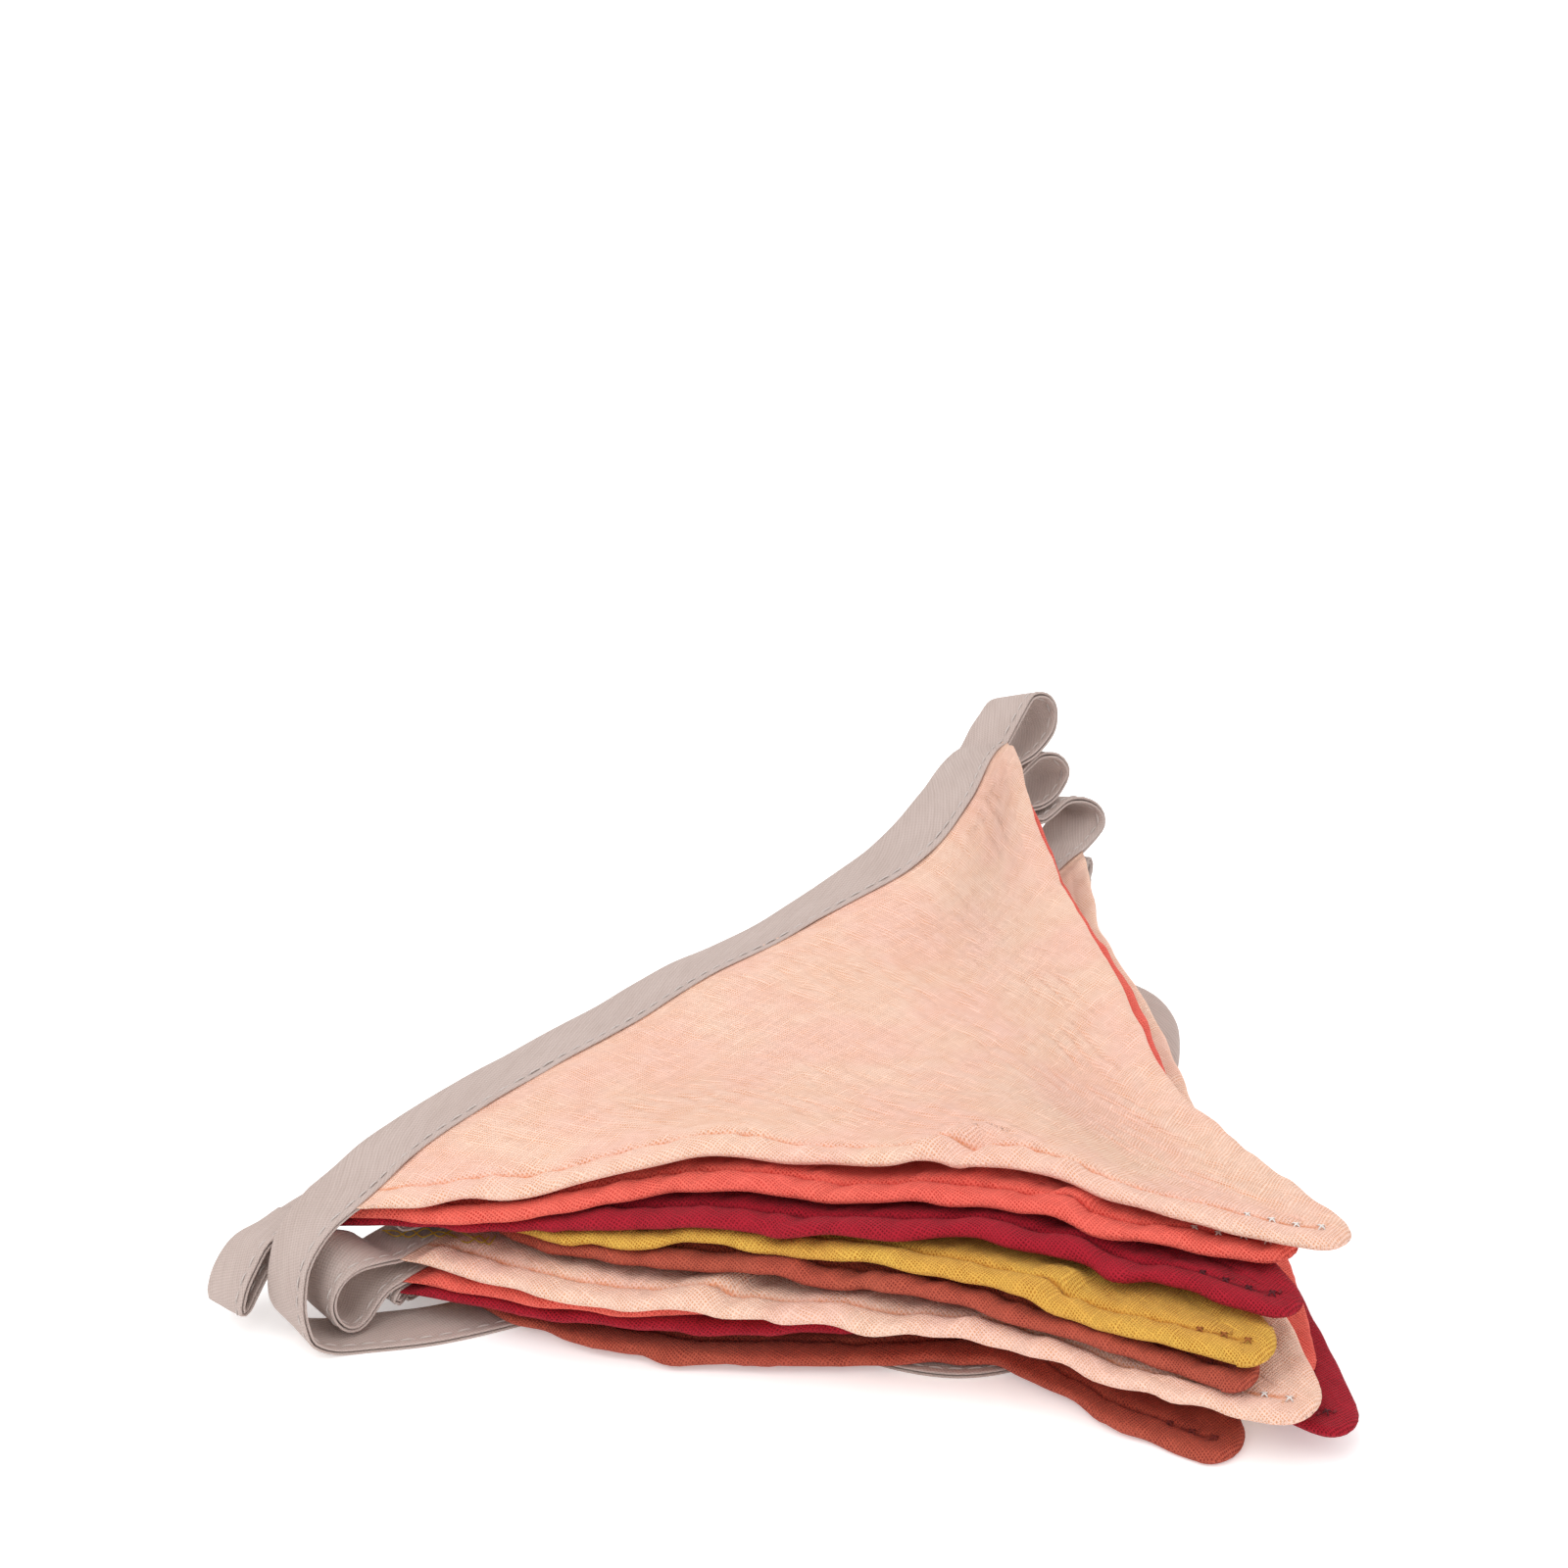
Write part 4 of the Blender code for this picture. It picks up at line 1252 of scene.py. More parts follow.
@dataclass
class BiasTape:
    """The folded bias tape, with its open edge, and its topstitching.

    The slit between its leaves and the bulge of its faces are greater where it holds a
    flag, by slit_held and bulge_held.
    """

    pile: Pile
    step: float = 1.25
    slit: float = 0.13
    slit_held: float = 0.17
    bulge_held: float = 0.12
    blend: int = 3
    stitch_inset: float = 1.35
    stitch_dent: float = 0.06
    stitch_ground: float = 0.3
    unevenness: Wrinkles = Wrinkles(41, 16.0, 90.0, 30.0)
    uneven_height: float = 0.07
    finish: TapeCloth = TapeCloth()
    thread: SewingThread = SewingThread("tape", (0.70, 0.61, 0.57))
    stitch: Stitch = Stitch(2.8, 0.55, 0.17, 0.12)

    @staticmethod
    def loose(rows: Sequence[Sequence[float]]) -> list[Station]:
        """Rows of a free end."""
        return [Station(np.array(row[:3]), bearing(row[3], row[4])) for row in rows]

    @staticmethod
    def turned(fold: Fold) -> list[Station]:
        """Rows of a fold.

        Args:
            fold: the loose turn.

        Returns:
            Its stations, in order.
        """
        heading, right = bearing(fold.heading, 0.0), bearing(fold.heading - 90.0, 0.0)
        corner = np.array((*fold.corner, 0.0))
        return [Station(corner + heading * out + right * aside + (0.0, 0.0, height),
                        bearing(fold.outer, lean)) for out, aside, height, lean in fold.rows]

    def sewn(self, index: int) -> list[Station]:
        """Rows along a flag.

        Args:
            index: the layer, counted from the ground.

        Returns:
            Its stations, from near to far.
        """
        rows = TOP_OPEN_ROWS if index == len(LAYERS) - 1 else OPEN_ROWS
        start = [distance / FLAG_DEPTH for distance in HEM_ROWS]
        span = 1.0 - 2.0 * start[-1]
        middle = [start[-1] + span * row / rows for row in range(1, rows)]
        shares = start + middle + [1.0 - share for share in reversed(start)]
        return [Station(*self.pile.spine_station(index, share), index, share)
                for share in shares]

    def keys(self) -> list[Station]:
        """All rows of the tape.

        Returns:
            Stations in order, from the top flag's free end to the bottom flag's.
        """
        route = self.loose(TOP_END)[::-1]
        for place in range(len(LAYERS) // 2):
            upper, lower = len(LAYERS) - 1 - 2 * place, len(LAYERS) - 2 - 2 * place
            route += self.sewn(upper) + self.turned(FAR_FOLDS[place]) + self.sewn(lower)[::-1]
            if place < len(NEAR_FOLDS):
                route += self.turned(NEAR_FOLDS[place])
        return route + self.loose(BOTTOM_END)

    def route(self) -> tuple[Array, Array, Array]:
        """Close, smooth stations of the whole tape.

        Returns:
            Points of the stitched edge, unit vectors to the outer edge, and 1 where the
            tape holds a flag, else 0.
        """
        keys = self.keys()
        points, sides, held = [], [], []
        for number in range(len(keys) - 1):
            before, start = keys[max(number - 1, 0)], keys[number]
            end, after = keys[number + 1], keys[min(number + 2, len(keys) - 1)]
            gap = float(np.linalg.norm(end.point - start.point))
            count = max(1, round(gap / self.step))
            on_flag = start.flag >= 0 and start.flag == end.flag
            for part in np.arange(count) / count:
                if on_flag:
                    share = start.share + (end.share - start.share) * part
                    point, side = self.pile.spine_station(start.flag, share)
                else:
                    point = catmull_rom(before.point, start.point, end.point, after.point, part)
                    side = catmull_rom(before.side, start.side, end.side, after.side, part)
                    point[2] = max(point[2], TAPE_REST_HEIGHT)
                points.append(point)
                sides.append(unit(side))
                held.append(float(on_flag))
        points.append(keys[-1].point)
        sides.append(keys[-1].side)
        held.append(0.0)
        window = 2 * self.blend + 1
        soft = np.convolve(np.pad(held, self.blend, mode="edge"), np.ones(window) / window,
                           mode="valid")
        return np.array(points), np.array(sides), np.minimum(soft, held)

    def face(self, held: Any) -> Any:
        """Height of the tape's face over its middle."""
        return 0.5 * TAPE_THICKNESS + self.bulge_held * held

    def section(self, held: float) -> Array:
        """Closed outline across the tape.

        Args:
            held: 1 where the tape holds a flag, else 0.

        Returns:
            Points: distance from the stitched edge, and height out of the upper face.
        """
        slit, face = self.slit + self.slit_held * held, self.face(held)
        upper = [
            (0.22, slit), (0.0, slit + 0.12), (0.02, face - 0.10), (0.20, face),
            (0.75, face + 0.02), (self.stitch_inset, face - 0.10), (1.95, face + 0.02),
            (4.0, face + 0.03), (6.5, face), (9.0, face - 0.02), (10.1, face - 0.06),
            (10.6, 0.6 * face),
        ]
        lower = [(across, -out) for across, out in reversed(upper)]
        return np.array(upper + [(TAPE_WIDTH, 0.0)] + lower + [(2.9, 0.0)])

    def build(self) -> list[bpy.types.Object]:
        """Returns:
            The tape and the stitches.
        """
        points, sides, held = self.route()
        out = unit(np.cross(unit(np.gradient(points, axis=0)), sides))
        along = length_along(points + sides * 0.5 * TAPE_WIDTH)
        rings, maps = [], []
        for number, place in enumerate(along):
            outline = self.section(held[number])
            around = length_along(outline)
            places = np.full(len(outline), place)
            wave = self.uneven_height * self.unevenness.value(places, outline[:, 0])
            rise = outline[:, 1] + wave * (points[number, 2] > 2.0 * TAPE_THICKNESS)
            rings.append(points[number] + sides[number] * outline[:, :1]
                         + out[number] * rise[:, None])
            maps.append(np.stack([places, around], -1))
        body = np.concatenate(rings)
        body[:, 2] = np.maximum(body[:, 2], GROUND_GAP)
        parts = MeshParts.empty()
        parts.extend(body, ring_faces(len(rings), len(rings[0])), np.concatenate(maps))
        tape = parts.piece("tape_cloth", self.finish.material())
        stitches = self.sew(points, sides, out, held)
        for piece in (tape, stitches):
            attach(piece, BODY)
        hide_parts("tape")
        return [tape, stitches]

    def sew(self, points: Array, sides: Array, out: Array, held: Array) -> bpy.types.Object:
        """Sew the topstitch on both faces of the tape.

        Args:
            points: stations of the stitched edge.
            sides: unit vectors to the outer edge.
            out: unit vectors out of the upper face.
            held: 1 where the tape holds a flag, else 0.

        Returns:
            The stitches.
        """
        parts = MeshParts.empty()
        face = (self.face(held) - self.stitch_dent)[:, None]
        for way in (1.0, -1.0):
            line = points + sides * self.stitch_inset + out * face * way
            line[:, 2] = np.maximum(line[:, 2], self.stitch_ground)
            self.stitch.sew(parts, line, out * way)
        return parts.piece("tape_stitches", self.thread.material())


# ---- the flags -----------------------------------------------------------------------
@dataclass(frozen=True)
class Hem:
    """The turned, topstitched hem along a flag's free edges, in millimetres.

    A band is the distance of its middle from the edge, and its width.  groove_back is the
    share of the groove that is left by the back edge, and groove_end the lengths along the
    edge between which groove_loss of it fades towards the tip.
    """

    groove_depth: float = 0.95
    groove_back: float = 0.25
    groove_end: Place = (136.0, 150.0)
    groove_loss: float = 0.55
    tug_height: float = 0.16
    pucker_band: Place = (2.8, 3.0)
    pucker_height: float = 0.26
    puckers: Wrinkles = Wrinkles(100, 6.5, 78.0, 16.0)
    gather_band: Place = (8.2, 2.6)
    gather_height: float = 0.2
    gathers: Wrinkles = Wrinkles(130, 5.0, 84.0, 12.0)

    def thickness(self, layer: int, distance: Array, along: Array, front: Array) -> Array:
        """Thickness of the cloth, with its turned hem, sewn groove and puckers.

        Args:
            layer: the flag, counted from the ground.
            distance: millimetres from the free edge.
            along: millimetres along that edge.
            front: 1 by the front edge, where the topstitch shows, and 0 by the back.

        Returns:
            Thickness in millimetres.
        """
        groove = hump(distance, HEM_STITCH, GROOVE_WIDTH)
        groove = groove * (self.groove_back + (1.0 - self.groove_back) * front)
        groove = groove * (1.0 - self.groove_loss * smooth_step(*self.groove_end, along))
        tug = self.tug_height * np.cos(along * (2.0 * math.pi / STITCH_PITCH)) * groove
        pucker = hump(distance, *self.pucker_band) * self.puckers.value(along, distance, layer)
        gather = hump(distance, *self.gather_band) * self.gathers.value(along, distance, layer)
        raised = self.pucker_height * pucker + self.gather_height * gather
        return table_value(HEM_THICKNESS, distance) - self.groove_depth * groove + tug + raised


@dataclass(frozen=True)
class Crinkles:
    """The crinkles that run down a flag of gauze, deeper in some patches than in others."""

    coarse: Wrinkles = Wrinkles(7, 8.4, 98.0, 9.0, 26)
    fine: Wrinkles = Wrinkles(57, 5.5, 92.0, 26.0)
    fine_share: float = 0.3
    trough_width: float = 0.6
    patches: Wrinkles = Wrinkles(87, 40.0, 45.0, 60.0)
    patch_usual: float = 0.6
    patch_swing: float = 0.4
    patch_limits: Place = (0.2, 1.0)
    hem_share: float = 0.25
    hem_reach: Place = (5.5, 12.0)

    def trough(self, layer: int, u: Array, v: Array, distance: Array) -> Array:
        """Depth in the crinkles: 1 in a deep trough and 0 on a crown.

        Args:
            layer: the flag, counted from the ground.
            u: pattern places along the tape, in millimetres.
            v: pattern places down the flag.
            distance: millimetres from the free edge, where the crinkles are shallower.

        Returns:
            The depth.
        """
        bent = self.coarse.value(u, v, layer) + self.fine_share * self.fine.value(u, v, layer)
        patch = self.patch_usual + self.patch_swing * self.patches.value(u, v, layer)
        kept = self.hem_share + (1.0 - self.hem_share) * smooth_step(*self.hem_reach, distance)
        return hump(bent, 0.0, self.trough_width) * np.clip(patch, *self.patch_limits) * kept


@dataclass(frozen=True)
class EdgeWaves:
    """How a flag's free edges stray sideways, and swell up from the layer below.

    The calm places are shares of the flag's depth between which the waves come or go.
    """

    stray: Wrinkles = Wrinkles(160, 13.0, 90.0, 10.0)
    stray_width: float = 0.5
    stray_reach: float = 4.0
    stray_back: float = 0.5
    stray_calm: tuple[Place, Place] = ((0.0, 0.12), (0.84, BLUNT_FROM))
    swell: Wrinkles = Wrinkles(200, 26.0, 90.0, 25.0)
    swell_usual: float = 0.5
    swell_swing: float = 0.6
    swell_most: float = 1.3
    swell_reach: float = 13.0
    swell_back: float = 0.35
    swell_tip: Place = (0.82, BLUNT_FROM)
    swell_tip_loss: float = 0.7

    def sideways(self, layer: int, across: Array, down: Array, places: Array) -> Array:
        """Shift of the cloth along the tape.

        Args:
            layer: the flag, counted from the ground.
            across: 0 on the front edge and 1 on the back edge.
            down: 0 on the tape and 1 at the tip.
            places: distance from the free edge, and place along it.

        Returns:
            Shifts in millimetres.
        """
        distance, along = places
        wobble = self.stray.value(along, 0.0 * along, layer) * self.stray_width
        side = np.where(across < 0.5, -1.0, self.stray_back)
        begin, end = self.stray_calm
        calm = smooth_step(*begin, down) * (1.0 - smooth_step(*end, down))
        return wobble * side * calm * np.exp(-distance / self.stray_reach)

    def rise(self, layer: int, down: Array, distance: Array, along: Array,
             front: Array) -> Array:
        """Height to which the cloth swells along its free edges, as a share of its lift.

        Args:
            layer: the flag, counted from the ground.
            down: 0 on the tape and 1 at the tip.
            distance: millimetres from the free edge.
            along: millimetres along that edge.
            front: 1 by the front edge and 0 by the back.

        Returns:
            The share.
        """
        wave = self.swell_usual + self.swell_swing * self.swell.value(along, distance, layer)
        rise = np.clip(wave, 0.0, self.swell_most) * hump(distance, 0.0, self.swell_reach)
        flat = self.swell_tip_loss * smooth_step(*self.swell_tip, down)
        return rise * (self.swell_back + (1.0 - self.swell_back) * front) * (1.0 - flat)


@dataclass(frozen=True)
class TipCrosses:
    """Crossed stitches along the front hem near the tip, with dark strands as painted shade in
    their needle holes.
    """

    span: Place = (0.845, 0.924)
    step: float = 4.2
    ends: Place = (0.6, 0.3)
    slants: Place = (62.0, -38.0)
    reads: int = 8
    lift: float = 0.32
    stitch: Stitch = Stitch(1.9, 0.04, 0.17, 0.26)
    hole_place: Place = (0.9, 1.1)
    hole_lift: float = 0.12
    hole_reach: float = 0.4
    hole_radius: float = 0.26

    def sew(self, parts: MeshParts, holes: MeshParts, line: Array) -> None:
        """Sew the crosses.

        Args:
            parts: the mesh that the crosses join.
            holes: the mesh that their needle holes join, dark strands of painted shade.
            line: points of the hem's stitch line over the span.
        """
        up = np.array((0.0, 0.0, 1.0))
        place = length_along(line)
        ahead = unit(line[-1] - line[0])
        aside = np.cross(up, ahead)
        reads = np.linspace(-1.0, 1.0, self.reads)[:, None]
        first, last = self.ends
        for spot in np.arange(place[-1] - last, first, -self.step):
            middle = read_rows(spot, place, line)
            for slant in self.slants:
                turn = math.radians(slant)
                way = ahead * math.cos(turn) + aside * math.sin(turn)
                self.stitch.sew(parts, middle + up * self.lift + way * reads,
                                np.tile(up, (self.reads, 1)))
            # Painted shade: a dark strand in the hem thread's colour lies over each needle hole.
            for side in (-1.0, 1.0):
                hole = middle + (ahead * self.hole_place[0] + aside * self.hole_place[1]) * side
                path = hole + up * self.hole_lift + aside * reads * self.hole_reach
                add_strand(holes, path, np.full(self.reads, self.hole_radius))


@dataclass
class FlagCloth:
    """One gauze flag: a thin hemmed sheet with puckers, creases and its stitches."""

    pile: Pile
    index: int
    columns: int = 64
    rows: int = 96
    crinkle: float = 0.42
    crinkle_level: float = 0.4
    lift: float = 1.0
    creases: tuple[Crease, ...] = ()
    hem_creases: tuple[Crease, ...] = ()
    hem: Hem = Hem()
    crinkles: Crinkles = Crinkles()
    edge_waves: EdgeWaves = EdgeWaves()
    crosses: TipCrosses = TipCrosses()
    hem_stitch: Stitch = Stitch(2.6, 0.7, 0.12, 0.0)
    hem_span: Place = (0.02, 0.86)
    hem_reads: int = 420
    tuck: float = 1.9
    tuck_fade: Place = (0.4, 4.2)
    tuck_thickness: float = 0.4
    frayed: float = 0.05
    rim_reach: float = 0.12

    @property
    def name(self) -> str:
        """The flag's node in the frame."""
        return f"flag_{self.index + 1:02d}"

    @property
    def tone(self) -> Tone:
        """The flag's colour."""
        return Tone(LAYERS[self.index].colour)

    @staticmethod
    def half_width(down: Array) -> Array:
        """Half of the flag's width across its middle line, in millimetres."""
        _, rounded = Pile.tip_shape(down)
        return np.where(down > BLUNT_FROM, rounded, (1.0 - down) * 0.5 * FLAG_CUT[0] / MM)

    @staticmethod
    def pattern(across: Array, down: Array) -> tuple[Array, Array]:
        """Place on the flat flag: along the tape from its middle, and down from it."""
        half = FlagCloth.half_width(down)
        return (across - 0.5) * 2.0 * half, Pile.kept(down) * FLAG_CUT[1] / MM

    @staticmethod
    def hem_place(across: Array, down: Array) -> tuple[Array, Array, Array]:
        """Place against the free edges.

        Args:
            across: 0 on the front edge and 1 on the back edge.
            down: 0 on the tape and 1 at the tip.

        Returns:
            Distance from the nearer free edge, place along it, and 1 by the front edge
            fading to 0 by the back edge.
        """
        end, _ = Pile.tip_shape(down)
        side = np.minimum(across, 1.0 - across) * 2.0 * FlagCloth.half_width(down) * EDGE_SLANT
        beyond = (1.0 - BLUNT_SHARE) * FLAG_DEPTH * np.maximum(0.0, BLUNT_FROM - down)
        both = np.exp(-side / TIP_SOFTNESS) + np.exp(-(end + beyond) / TIP_SOFTNESS)
        distance = np.maximum(-TIP_SOFTNESS * np.log(both), 0.0)
        front = 1.0 - smooth_step(*FRONT_FADE, across)
        along = Pile.kept(down) * EDGE_LENGTH
        return distance, np.where(across > 0.5, 2.0 * ROUND_THE_TIP - along, along), front

    def outline(self, across: Array, down: Array) -> Array:
        """Plan points with the free edges a little uneven.

        Args:
            across: 0 on the front edge and 1 on the back edge.
            down: 0 on the tape and 1 at the tip.

        Returns:
            Points, two numbers each.
        """
        layer = LAYERS[self.index]
        spine = unit(np.subtract(layer.far, layer.near))
        distance, along, _ = self.hem_place(across, down)
        shift = self.edge_waves.sideways(self.index, across, down, (distance, along))
        return self.pile.plan(self.index, across, down) + spine * shift[..., None]

    def surface(self, across: Array, down: Array) -> tuple[Array, Array, Array]:
        """The flag's top and underside.

        Args:
            across: 0 on the front edge and 1 on the back edge.
            down: 0 on the tape and 1 at the tip.

        Returns:
            Top points, underside points and the depth in a crease.
        """
        plan = self.outline(across, down)
        x, y = plan[..., 0], plan[..., 1]
        low = self.pile.underside(self.index, x, y)
        u, v = self.pattern(across, down)
        distance, along, front = self.hem_place(across, down)
        trough = self.crinkles.trough(self.index, u, v, distance)
        thick = self.hem.thickness(self.index, distance, along, front)
        thick = thick - self.crinkle * (trough - self.crinkle_level)
        # A trough crease also deepens the painted shade that the gauze takes from the relief
        # map.
        for crease in self.creases:
            height = crease.value(u, v)
            thick, trough = thick + height, trough + np.maximum(-height, 0.0)
        rise = self.lift * self.edge_waves.rise(self.index, down, distance, along, front)
        for crease in self.hem_creases:
            rise = rise + crease.value(along, distance)
        rise = rise * smooth_step(*TAPE_CALM, down)
        if self.index + 1 < len(LAYERS):
            room = self.pile.underside(self.index + 1, x, y) - low - LAYER_GAP
            thick = np.minimum(thick, room)
            rise = np.clip(rise, 0.0, np.maximum(room - thick, 0.0))
        thick = np.maximum(thick, THINNEST)
        near_rim = np.clip(distance / EDGE_ROUND, 0.0, 1.0)
        edge = RIM_SHARE + (1.0 - RIM_SHARE) * np.sqrt(1.0 - (1.0 - near_rim) ** 2)
        # The top edge is held between the tape's two leaves.
        held = 1.0 - smooth_step(*self.tuck_fade, v)
        half = 0.5 * self.tuck_thickness
        high = low + rise + thick * (0.5 + 0.5 * edge)
        floor = low + rise + thick * 0.5 * (1.0 - edge)
        high = high * (1.0 - held) + (low + TAPE_REST_HEIGHT + half) * held
        floor = floor * (1.0 - held) + (low + TAPE_REST_HEIGHT - half) * held
        top = np.concatenate([plan, high[..., None]], -1)
        bottom = np.concatenate([plan, np.maximum(floor, GROUND_GAP)[..., None]], -1)
        return top, bottom, trough

    def shares(self) -> tuple[Array, Array]:
        """Grid of places, close together along the hems, the tape and the tip.

        Returns:
            Shares across and down, for every row and column.
        """
        top = np.array(TAPE_ROWS) / FLAG_DEPTH
        body = np.linspace(BODY_START / FLAG_DEPTH, BLUNT_FROM, self.rows)
        end = 1.0 - np.array(TIP_ROWS) / (BLUNT_SHARE * FLAG_DEPTH)
        down = np.concatenate([top, body, end])
        width = (1.0 - down) * FLAG_DEPTH
        scale = np.minimum(1.0, width / (NARROW_SHARE * HEM_COLUMNS[-1]))
        side = np.outer(scale / width, HEM_COLUMNS)
        reach = side[:, -1:]
        even = np.linspace(0.0, 1.0, self.columns + 2)[1:-1]
        middle = reach + (1.0 - 2.0 * reach) * even
        across = np.concatenate([side, middle, 1.0 - side[:, ::-1]], 1)
        return across, np.broadcast_to(down[:, None], across.shape)

    def grid(self) -> tuple[Array, Array, Array, Array, Array]:
        """Every point of the flag, with one more row that reaches into the tape's slit.

        Returns:
            Top and underside points, and their pattern, hem and relief places.
        """
        across, down = self.shares()
        top, bottom, trough = self.surface(across, down)
        u, v = self.pattern(across, down)
        distance, along, front = self.hem_place(across, down)
        # The weave goes on round the edge instead of stretching over it.
        reach = table_value(RIM_REACH, distance)
        u = u + reach * EDGE_SLANT * np.where(across > 0.5, 1.0, -1.0)
        v = v + reach * math.sqrt(1.0 - EDGE_SLANT ** 2)
        step = unit((top[0] - top[1]) * LEVEL)
        top = np.concatenate([(top[0] + step * self.tuck)[None], top])
        bottom = np.concatenate([(bottom[0] + step * self.tuck)[None], bottom])
        seam = distance + BACK_HEM_SHIFT * (front < 0.5)
        places = np.stack([u, v, seam, along, trough, 0.0 * u], -1)
        tucked = places[:1] - (0.0, self.tuck, 0.0, 0.0, 0.0, 0.0)
        places = np.concatenate([tucked, places])
        return top, bottom, places[..., :2], places[..., 2:4], places[..., 4:]

    def mesh_parts(self) -> MeshParts:
        """The closed sheet.

        Returns:
            Its top, its underside and a slightly frayed rim.
        """
        top, bottom, *maps = self.grid()
        number = np.arange(top.shape[0] * top.shape[1]).reshape(top.shape[:2])
        quads = np.stack([number[:-1, :-1], number[:-1, 1:], number[1:, 1:], number[1:, :-1]],
                         -1).reshape(-1, 4)
        parts = MeshParts.empty()
        above, below = top.reshape(-1, 3), bottom.reshape(-1, 3)
        flat = [rows.reshape(-1, 2) for rows in maps]
        parts.extend(above, quads[:, ::-1].tolist(), *flat)
        parts.extend(below, quads.tolist(), *flat)
        rim = np.concatenate([number[:-1, 0], number[-1, :-1], number[:0:-1, -1],
                              number[0, :0:-1]])
        inner = np.concatenate([number[:-1, 1], number[-2, :-1], number[:0:-1, -2],
                                number[1, :0:-1]])
        outward = unit((above[rim] - above[inner]) * LEVEL)
        fray = np.random.default_rng(FRAY_SEED + self.index).normal(
            0.0, self.frayed, (len(rim), 1))
        ring = 0.5 * (above[rim] + below[rim]) + outward * (self.rim_reach + fray)
        ring[:, 2] = np.maximum(ring[:, 2], GROUND_GAP)
        weave = flat[0][rim] + unit(flat[0][rim] - flat[0][inner]) * RIM_MIDDLE
        parts.extend(ring, [], weave, flat[1][rim], flat[2][rim])
        middle = len(parts.points) - len(rim) + np.arange(len(rim))
        for upper, lower in ((rim, middle), (middle, rim + number.size)):
            beside = np.roll(upper, -1), np.roll(lower, -1)
            parts.faces.extend(np.stack([upper, *beside, lower], -1).tolist())
        return parts

    def hem_line(self, span: Place) -> Array:
        """The front hem's stitch line.

        Args:
            span: shares of the flag's depth between which it runs.

        Returns:
            Points on the cloth.
        """
        down = np.linspace(*span, self.hem_reads)
        across = np.minimum(0.5 * HEM_STITCH / (self.half_width(down) * EDGE_SLANT), 0.49)
        return self.surface(across, down)[0]

    def build(self, materials: dict) -> list[bpy.types.Object]:
        """Args:
            materials: finishes by tone, and by tone and kind of thread.

        Returns:
            The cloth, its hem's stitches and its tip's.
        """
        cloth = self.mesh_parts().piece(f"{self.name}_cloth", materials[self.tone])
        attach(cloth, BODY)
        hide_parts(self.name)
        hem, tips = MeshParts.empty(), MeshParts.empty()
        line = self.hem_line(self.hem_span)
        self.hem_stitch.sew(hem, line, np.tile((0.0, 0.0, 1.0), (len(line), 1)))
        self.crosses.sew(tips, hem, self.hem_line(self.crosses.span))
        with_it = [
            hem.piece(f"{self.name}_hem_stitches", materials[self.tone, "hem"]),
            tips.piece(f"{self.name}_tip_stitches", materials[self.tone, "tip"]),
        ]
        for stitches in with_it:
            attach(stitches, BODY)
        below = "tape_cloth" if self.index == 0 else f"flag_{self.index:02d}_cloth"
        return [cloth, *with_it]


# ---- loose threads and studio --------------------------------------------------------
@dataclass(frozen=True)
class LooseThreads:
    """Loose tails of sewing thread that lie on the pile."""

    paths: tuple[tuple[tuple[float, float, float], ...], ...]
    radius: float = 0.13
    reads: int = 14
    thread: SewingThread = SewingThread("loose", LOOSE_THREAD_COLOUR)

    def strand(self, path: Sequence[Sequence[float]]) -> Array:
        """A smooth line through a path.

        Args:
            path: the path's points.

        Returns:
            Points of the line, close together.
        """
        rows = np.array(path)
        reads = np.linspace(0, len(rows) - 1, self.reads * len(rows))
        index = np.minimum(reads.astype(int), len(rows) - 2)
        before = rows[np.maximum(index - 1, 0)]
        after = rows[np.minimum(index + 2, len(rows) - 1)]
        part = (reads - index)[:, None]
        return catmull_rom(before, rows[index], rows[index + 1], after, part)

    def build(self) -> list[bpy.types.Object]:
        """Make all tails as one piece.

        Returns:
            The piece.
        """
        tails = MeshParts.empty()
        for path in self.paths:
            line = self.strand(path)
            add_strand(tails, line, np.full(len(line), self.radius))
        loose = tails.piece("loose_threads", self.thread.material())
        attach(loose, BODY)
        return [loose]


@dataclass(frozen=True)
class SoftLight:
    """A soft square light that faces the pile, in metres and watts."""

    name: str
    place: tuple[float, float, float]
    size: float
    power: float

    def build(self) -> None:
        """Make the light."""
        data = bpy.data.lights.new(self.name, "AREA")
        data.energy, data.size = self.power, self.size
        light = bpy.data.objects.new(self.name, data)
        light.location = self.place
        light.rotation_euler = (-Vector(self.place)).to_track_quat("-Z", "Y").to_euler()
        bpy.context.scene.collection.objects.link(light)


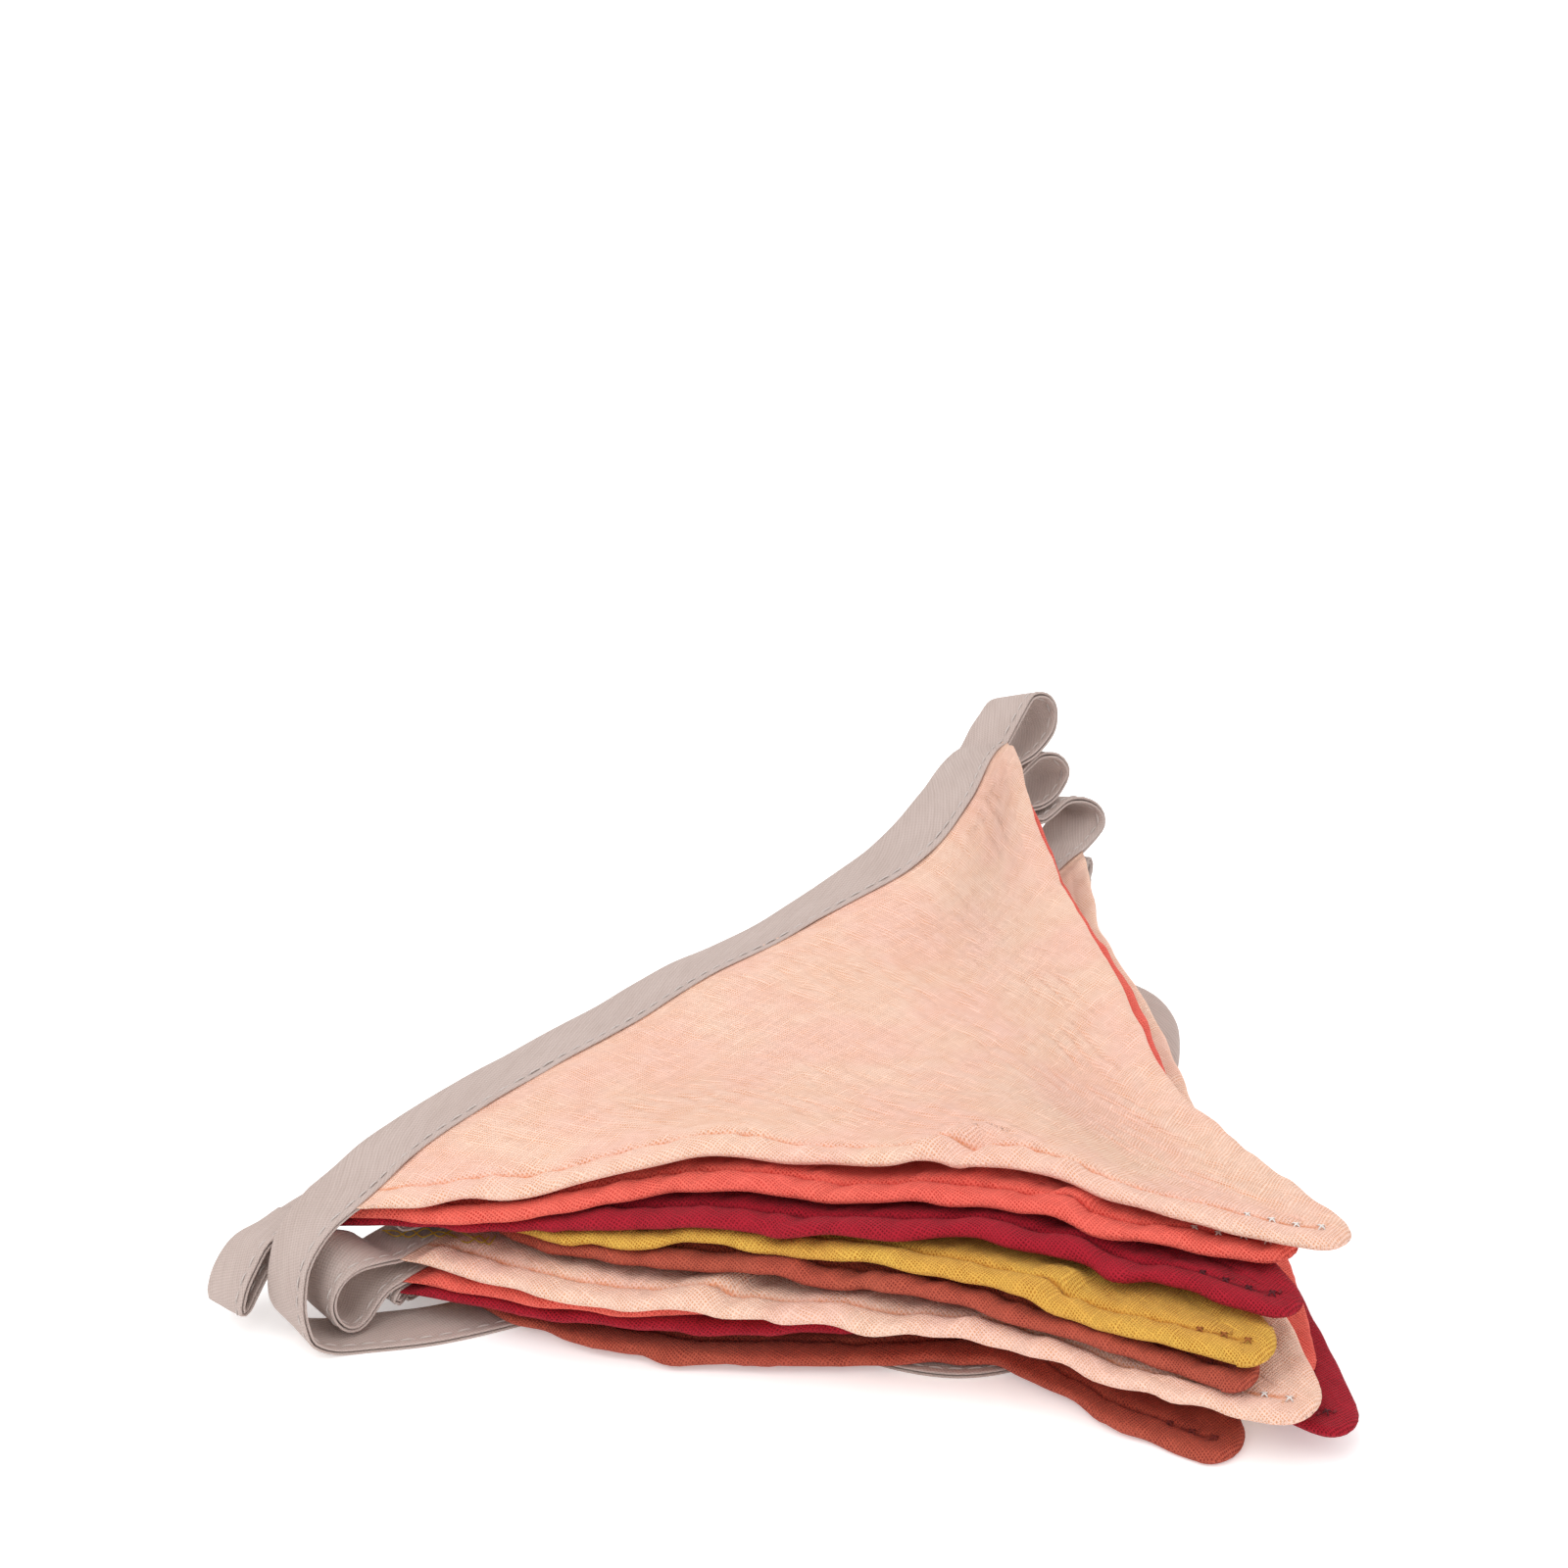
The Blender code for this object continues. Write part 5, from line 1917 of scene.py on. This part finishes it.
@dataclass(frozen=True)
class Studio:
    """Floor, lights and camera."""

    focal_pixels: float = 4760.0
    frame_pixels: float = 1600.0
    camera_place: tuple[float, float, float] = (1.779, -708.773, 469.189)
    camera_dip: float = 28.7
    clip_end: float = 20.0
    floor_size: float = 6.0
    sky: float = 0.64
    lights: tuple[SoftLight, ...] = (
        SoftLight("key", (-0.55, -0.35, 1.25), 1.6, 14.0),
        SoftLight("fill", (0.95, -0.75, 0.75), 1.4, 5.0),
        SoftLight("back", (0.25, 1.15, 0.85), 1.2, 5.0),
    )

    def build(self) -> list[bpy.types.Object]:
        """Make the floor, the camera, the lights and the world.

        Returns:
            The floor.
        """
        floor = self.floor()
        self.camera()
        for light in self.lights:
            light.build()
        world = bpy.data.worlds.new("studio")
        world.use_nodes = True
        background = world.node_tree.nodes["Background"]
        background.inputs["Color"].default_value = (1.0, 1.0, 1.0, 1.0)
        background.inputs["Strength"].default_value = self.sky
        bpy.context.scene.world = world
        bpy.context.scene.view_settings.view_transform = "Standard"
        return [floor]

    def floor(self) -> bpy.types.Object:
        """Make a plain pale floor.

        Returns:
            The floor.
        """
        half = 0.5 * self.floor_size
        corners = [(side_x * half, side_y * half, 0.0)
                   for side_x, side_y in ((-1, -1), (1, -1), (1, 1), (-1, 1))]
        mesh = bpy.data.meshes.new("floor")
        mesh.from_pydata(corners, [], [(0, 1, 2, 3)])
        mesh.materials.append(PalePaint().material())
        floor = bpy.data.objects.new("floor", mesh)
        bpy.context.scene.collection.objects.link(floor)
        return floor

    def camera(self) -> None:
        """Make the camera, at the photograph's viewing angle."""
        data = bpy.data.cameras.new("camera")
        data.lens = data.sensor_width * self.focal_pixels / self.frame_pixels
        data.clip_end = self.clip_end
        camera = bpy.data.objects.new("camera", data)
        camera.location = (Vector(self.camera_place) - Vector(ORIGIN)) * MM
        camera.rotation_euler = (math.radians(90.0 - self.camera_dip), 0.0, 0.0)
        bpy.context.scene.collection.objects.link(camera)
        bpy.context.scene.camera = camera


def hem_buckle(along: float, lean: float, reach: float, width: float, height: float) -> Crease:
    """A swelling or dent of a front hem.

    Args:
        along: where it starts on the edge, in millimetres along it.
        lean: how much farther along its inner end lies.
        reach: its inner end's distance from the edge.
        width: its width.
        height: its height, or its depth if below zero.

    Returns:
        The crease, in places along the edge and distances from it.
    """
    return Crease((along, 0.0), (along + lean, reach), width, height)


# Where the front hems buckle, by layer: swellings, and the sharp dents beside them.
HEM_BUCKLES = {
    9: ((93.0, 2.0, 12.0, 3.4, 1.7), (99.5, 1.0, 9.0, 2.4, -1.6)),
    8: ((124.0, 3.0, 14.0, 3.4, 2.2), (112.0, 1.0, 9.0, 7.0, -1.2),
        (133.5, 2.5, 13.0, 5.0, -2.6)),
    7: ((125.0, 3.0, 14.0, 3.4, 2.0), (134.5, 2.5, 12.0, 5.0, -2.4)),
    6: ((118.0, 3.0, 12.0, 3.6, 1.8), (127.0, 2.0, 10.0, 4.5, -2.0)),
    5: ((70.0, 3.0, 10.0, 4.0, 1.2), (80.0, 2.0, 10.0, 4.5, -1.4)),
    4: ((52.0, 4.0, 12.0, 4.0, 1.4), (62.0, 2.0, 10.0, 4.0, -1.6),
        (104.0, 3.0, 12.0, 3.6, 1.2)),
}
# The top flag shows whole, so it is finer, more crinkled and creased in its middle.
TOP_FLAG = {
    "columns": 180,
    "rows": 160,
    "crinkle": 0.65,
    "lift": 1.5,
    "creases": (
        Crease((-16.0, 62.0), (-9.0, 74.0), 1.3, -0.55),
        Crease((8.0, 60.0), (13.0, 71.0), 1.2, -0.6),
    ),
}
LOOSE_PATHS = (
    ((-67.6, -36.2, 12.7), (-65.2, -38.6, 13.1), (-62.8, -37.0, 13.3), (-60.7, -39.3, 13.4),
     (-58.2, -37.7, 13.4), (-55.8, -38.2, 13.1), (-52.8, -42.3, 14.3), (-50.8, -40.3, 14.3),
     (-49.0, -43.1, 14.5), (-48.0, -40.2, 14.3)),
    ((-67.9, -36.4, 12.8), (-65.4, -37.0, 13.1), (-63.0, -39.1, 13.3), (-60.3, -36.9, 13.6),
     (-57.8, -39.0, 13.3), (-55.4, -37.1, 13.4), (-52.1, -41.0, 14.6), (-50.2, -43.0, 14.8),
     (-49.1, -40.6, 14.4)),
)


def cloth_materials() -> dict:
    """Make the finishes of every gauze, of its hem thread and of its tip thread.

    Returns:
        Materials by tone, and by tone and kind of thread.
    """
    made = {}
    for tone, gauze in GAUZES.items():
        made[tone] = gauze.material()
        # The hem thread is painted darker, as shade in its groove.
        hem = blended(gauze.deep, gauze.thread, HEM_THREAD_SHARE)
        made[tone, "hem"] = SewingThread(f"{tone.value}_hem", hem).material()
        made[tone, "tip"] = SewingThread(f"{tone.value}_tip", TIP_THREADS[tone]).material()
    return made


def report(pieces: Iterable[bpy.types.Object]) -> None:
    """Log every piece of a sub-assembly."""
    for piece in pieces:
        LOG.info("%s: %d faces", piece.name, len(piece.data.polygons))


def main() -> None:
    """Build every sub-assembly in order and log its pieces."""
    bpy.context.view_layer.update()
    pile = Pile()
    report(BiasTape(pile).build())
    materials = cloth_materials()
    for index in range(len(LAYERS)):
        buckles = tuple(hem_buckle(*row) for row in HEM_BUCKLES.get(index, ()))
        extra = TOP_FLAG if index == len(LAYERS) - 1 else {}
        report(FlagCloth(pile, index, hem_creases=buckles, **extra).build(materials))
    report(LooseThreads(LOOSE_PATHS).build())
    report(Studio().build())


if __name__ == "__main__":
    main()
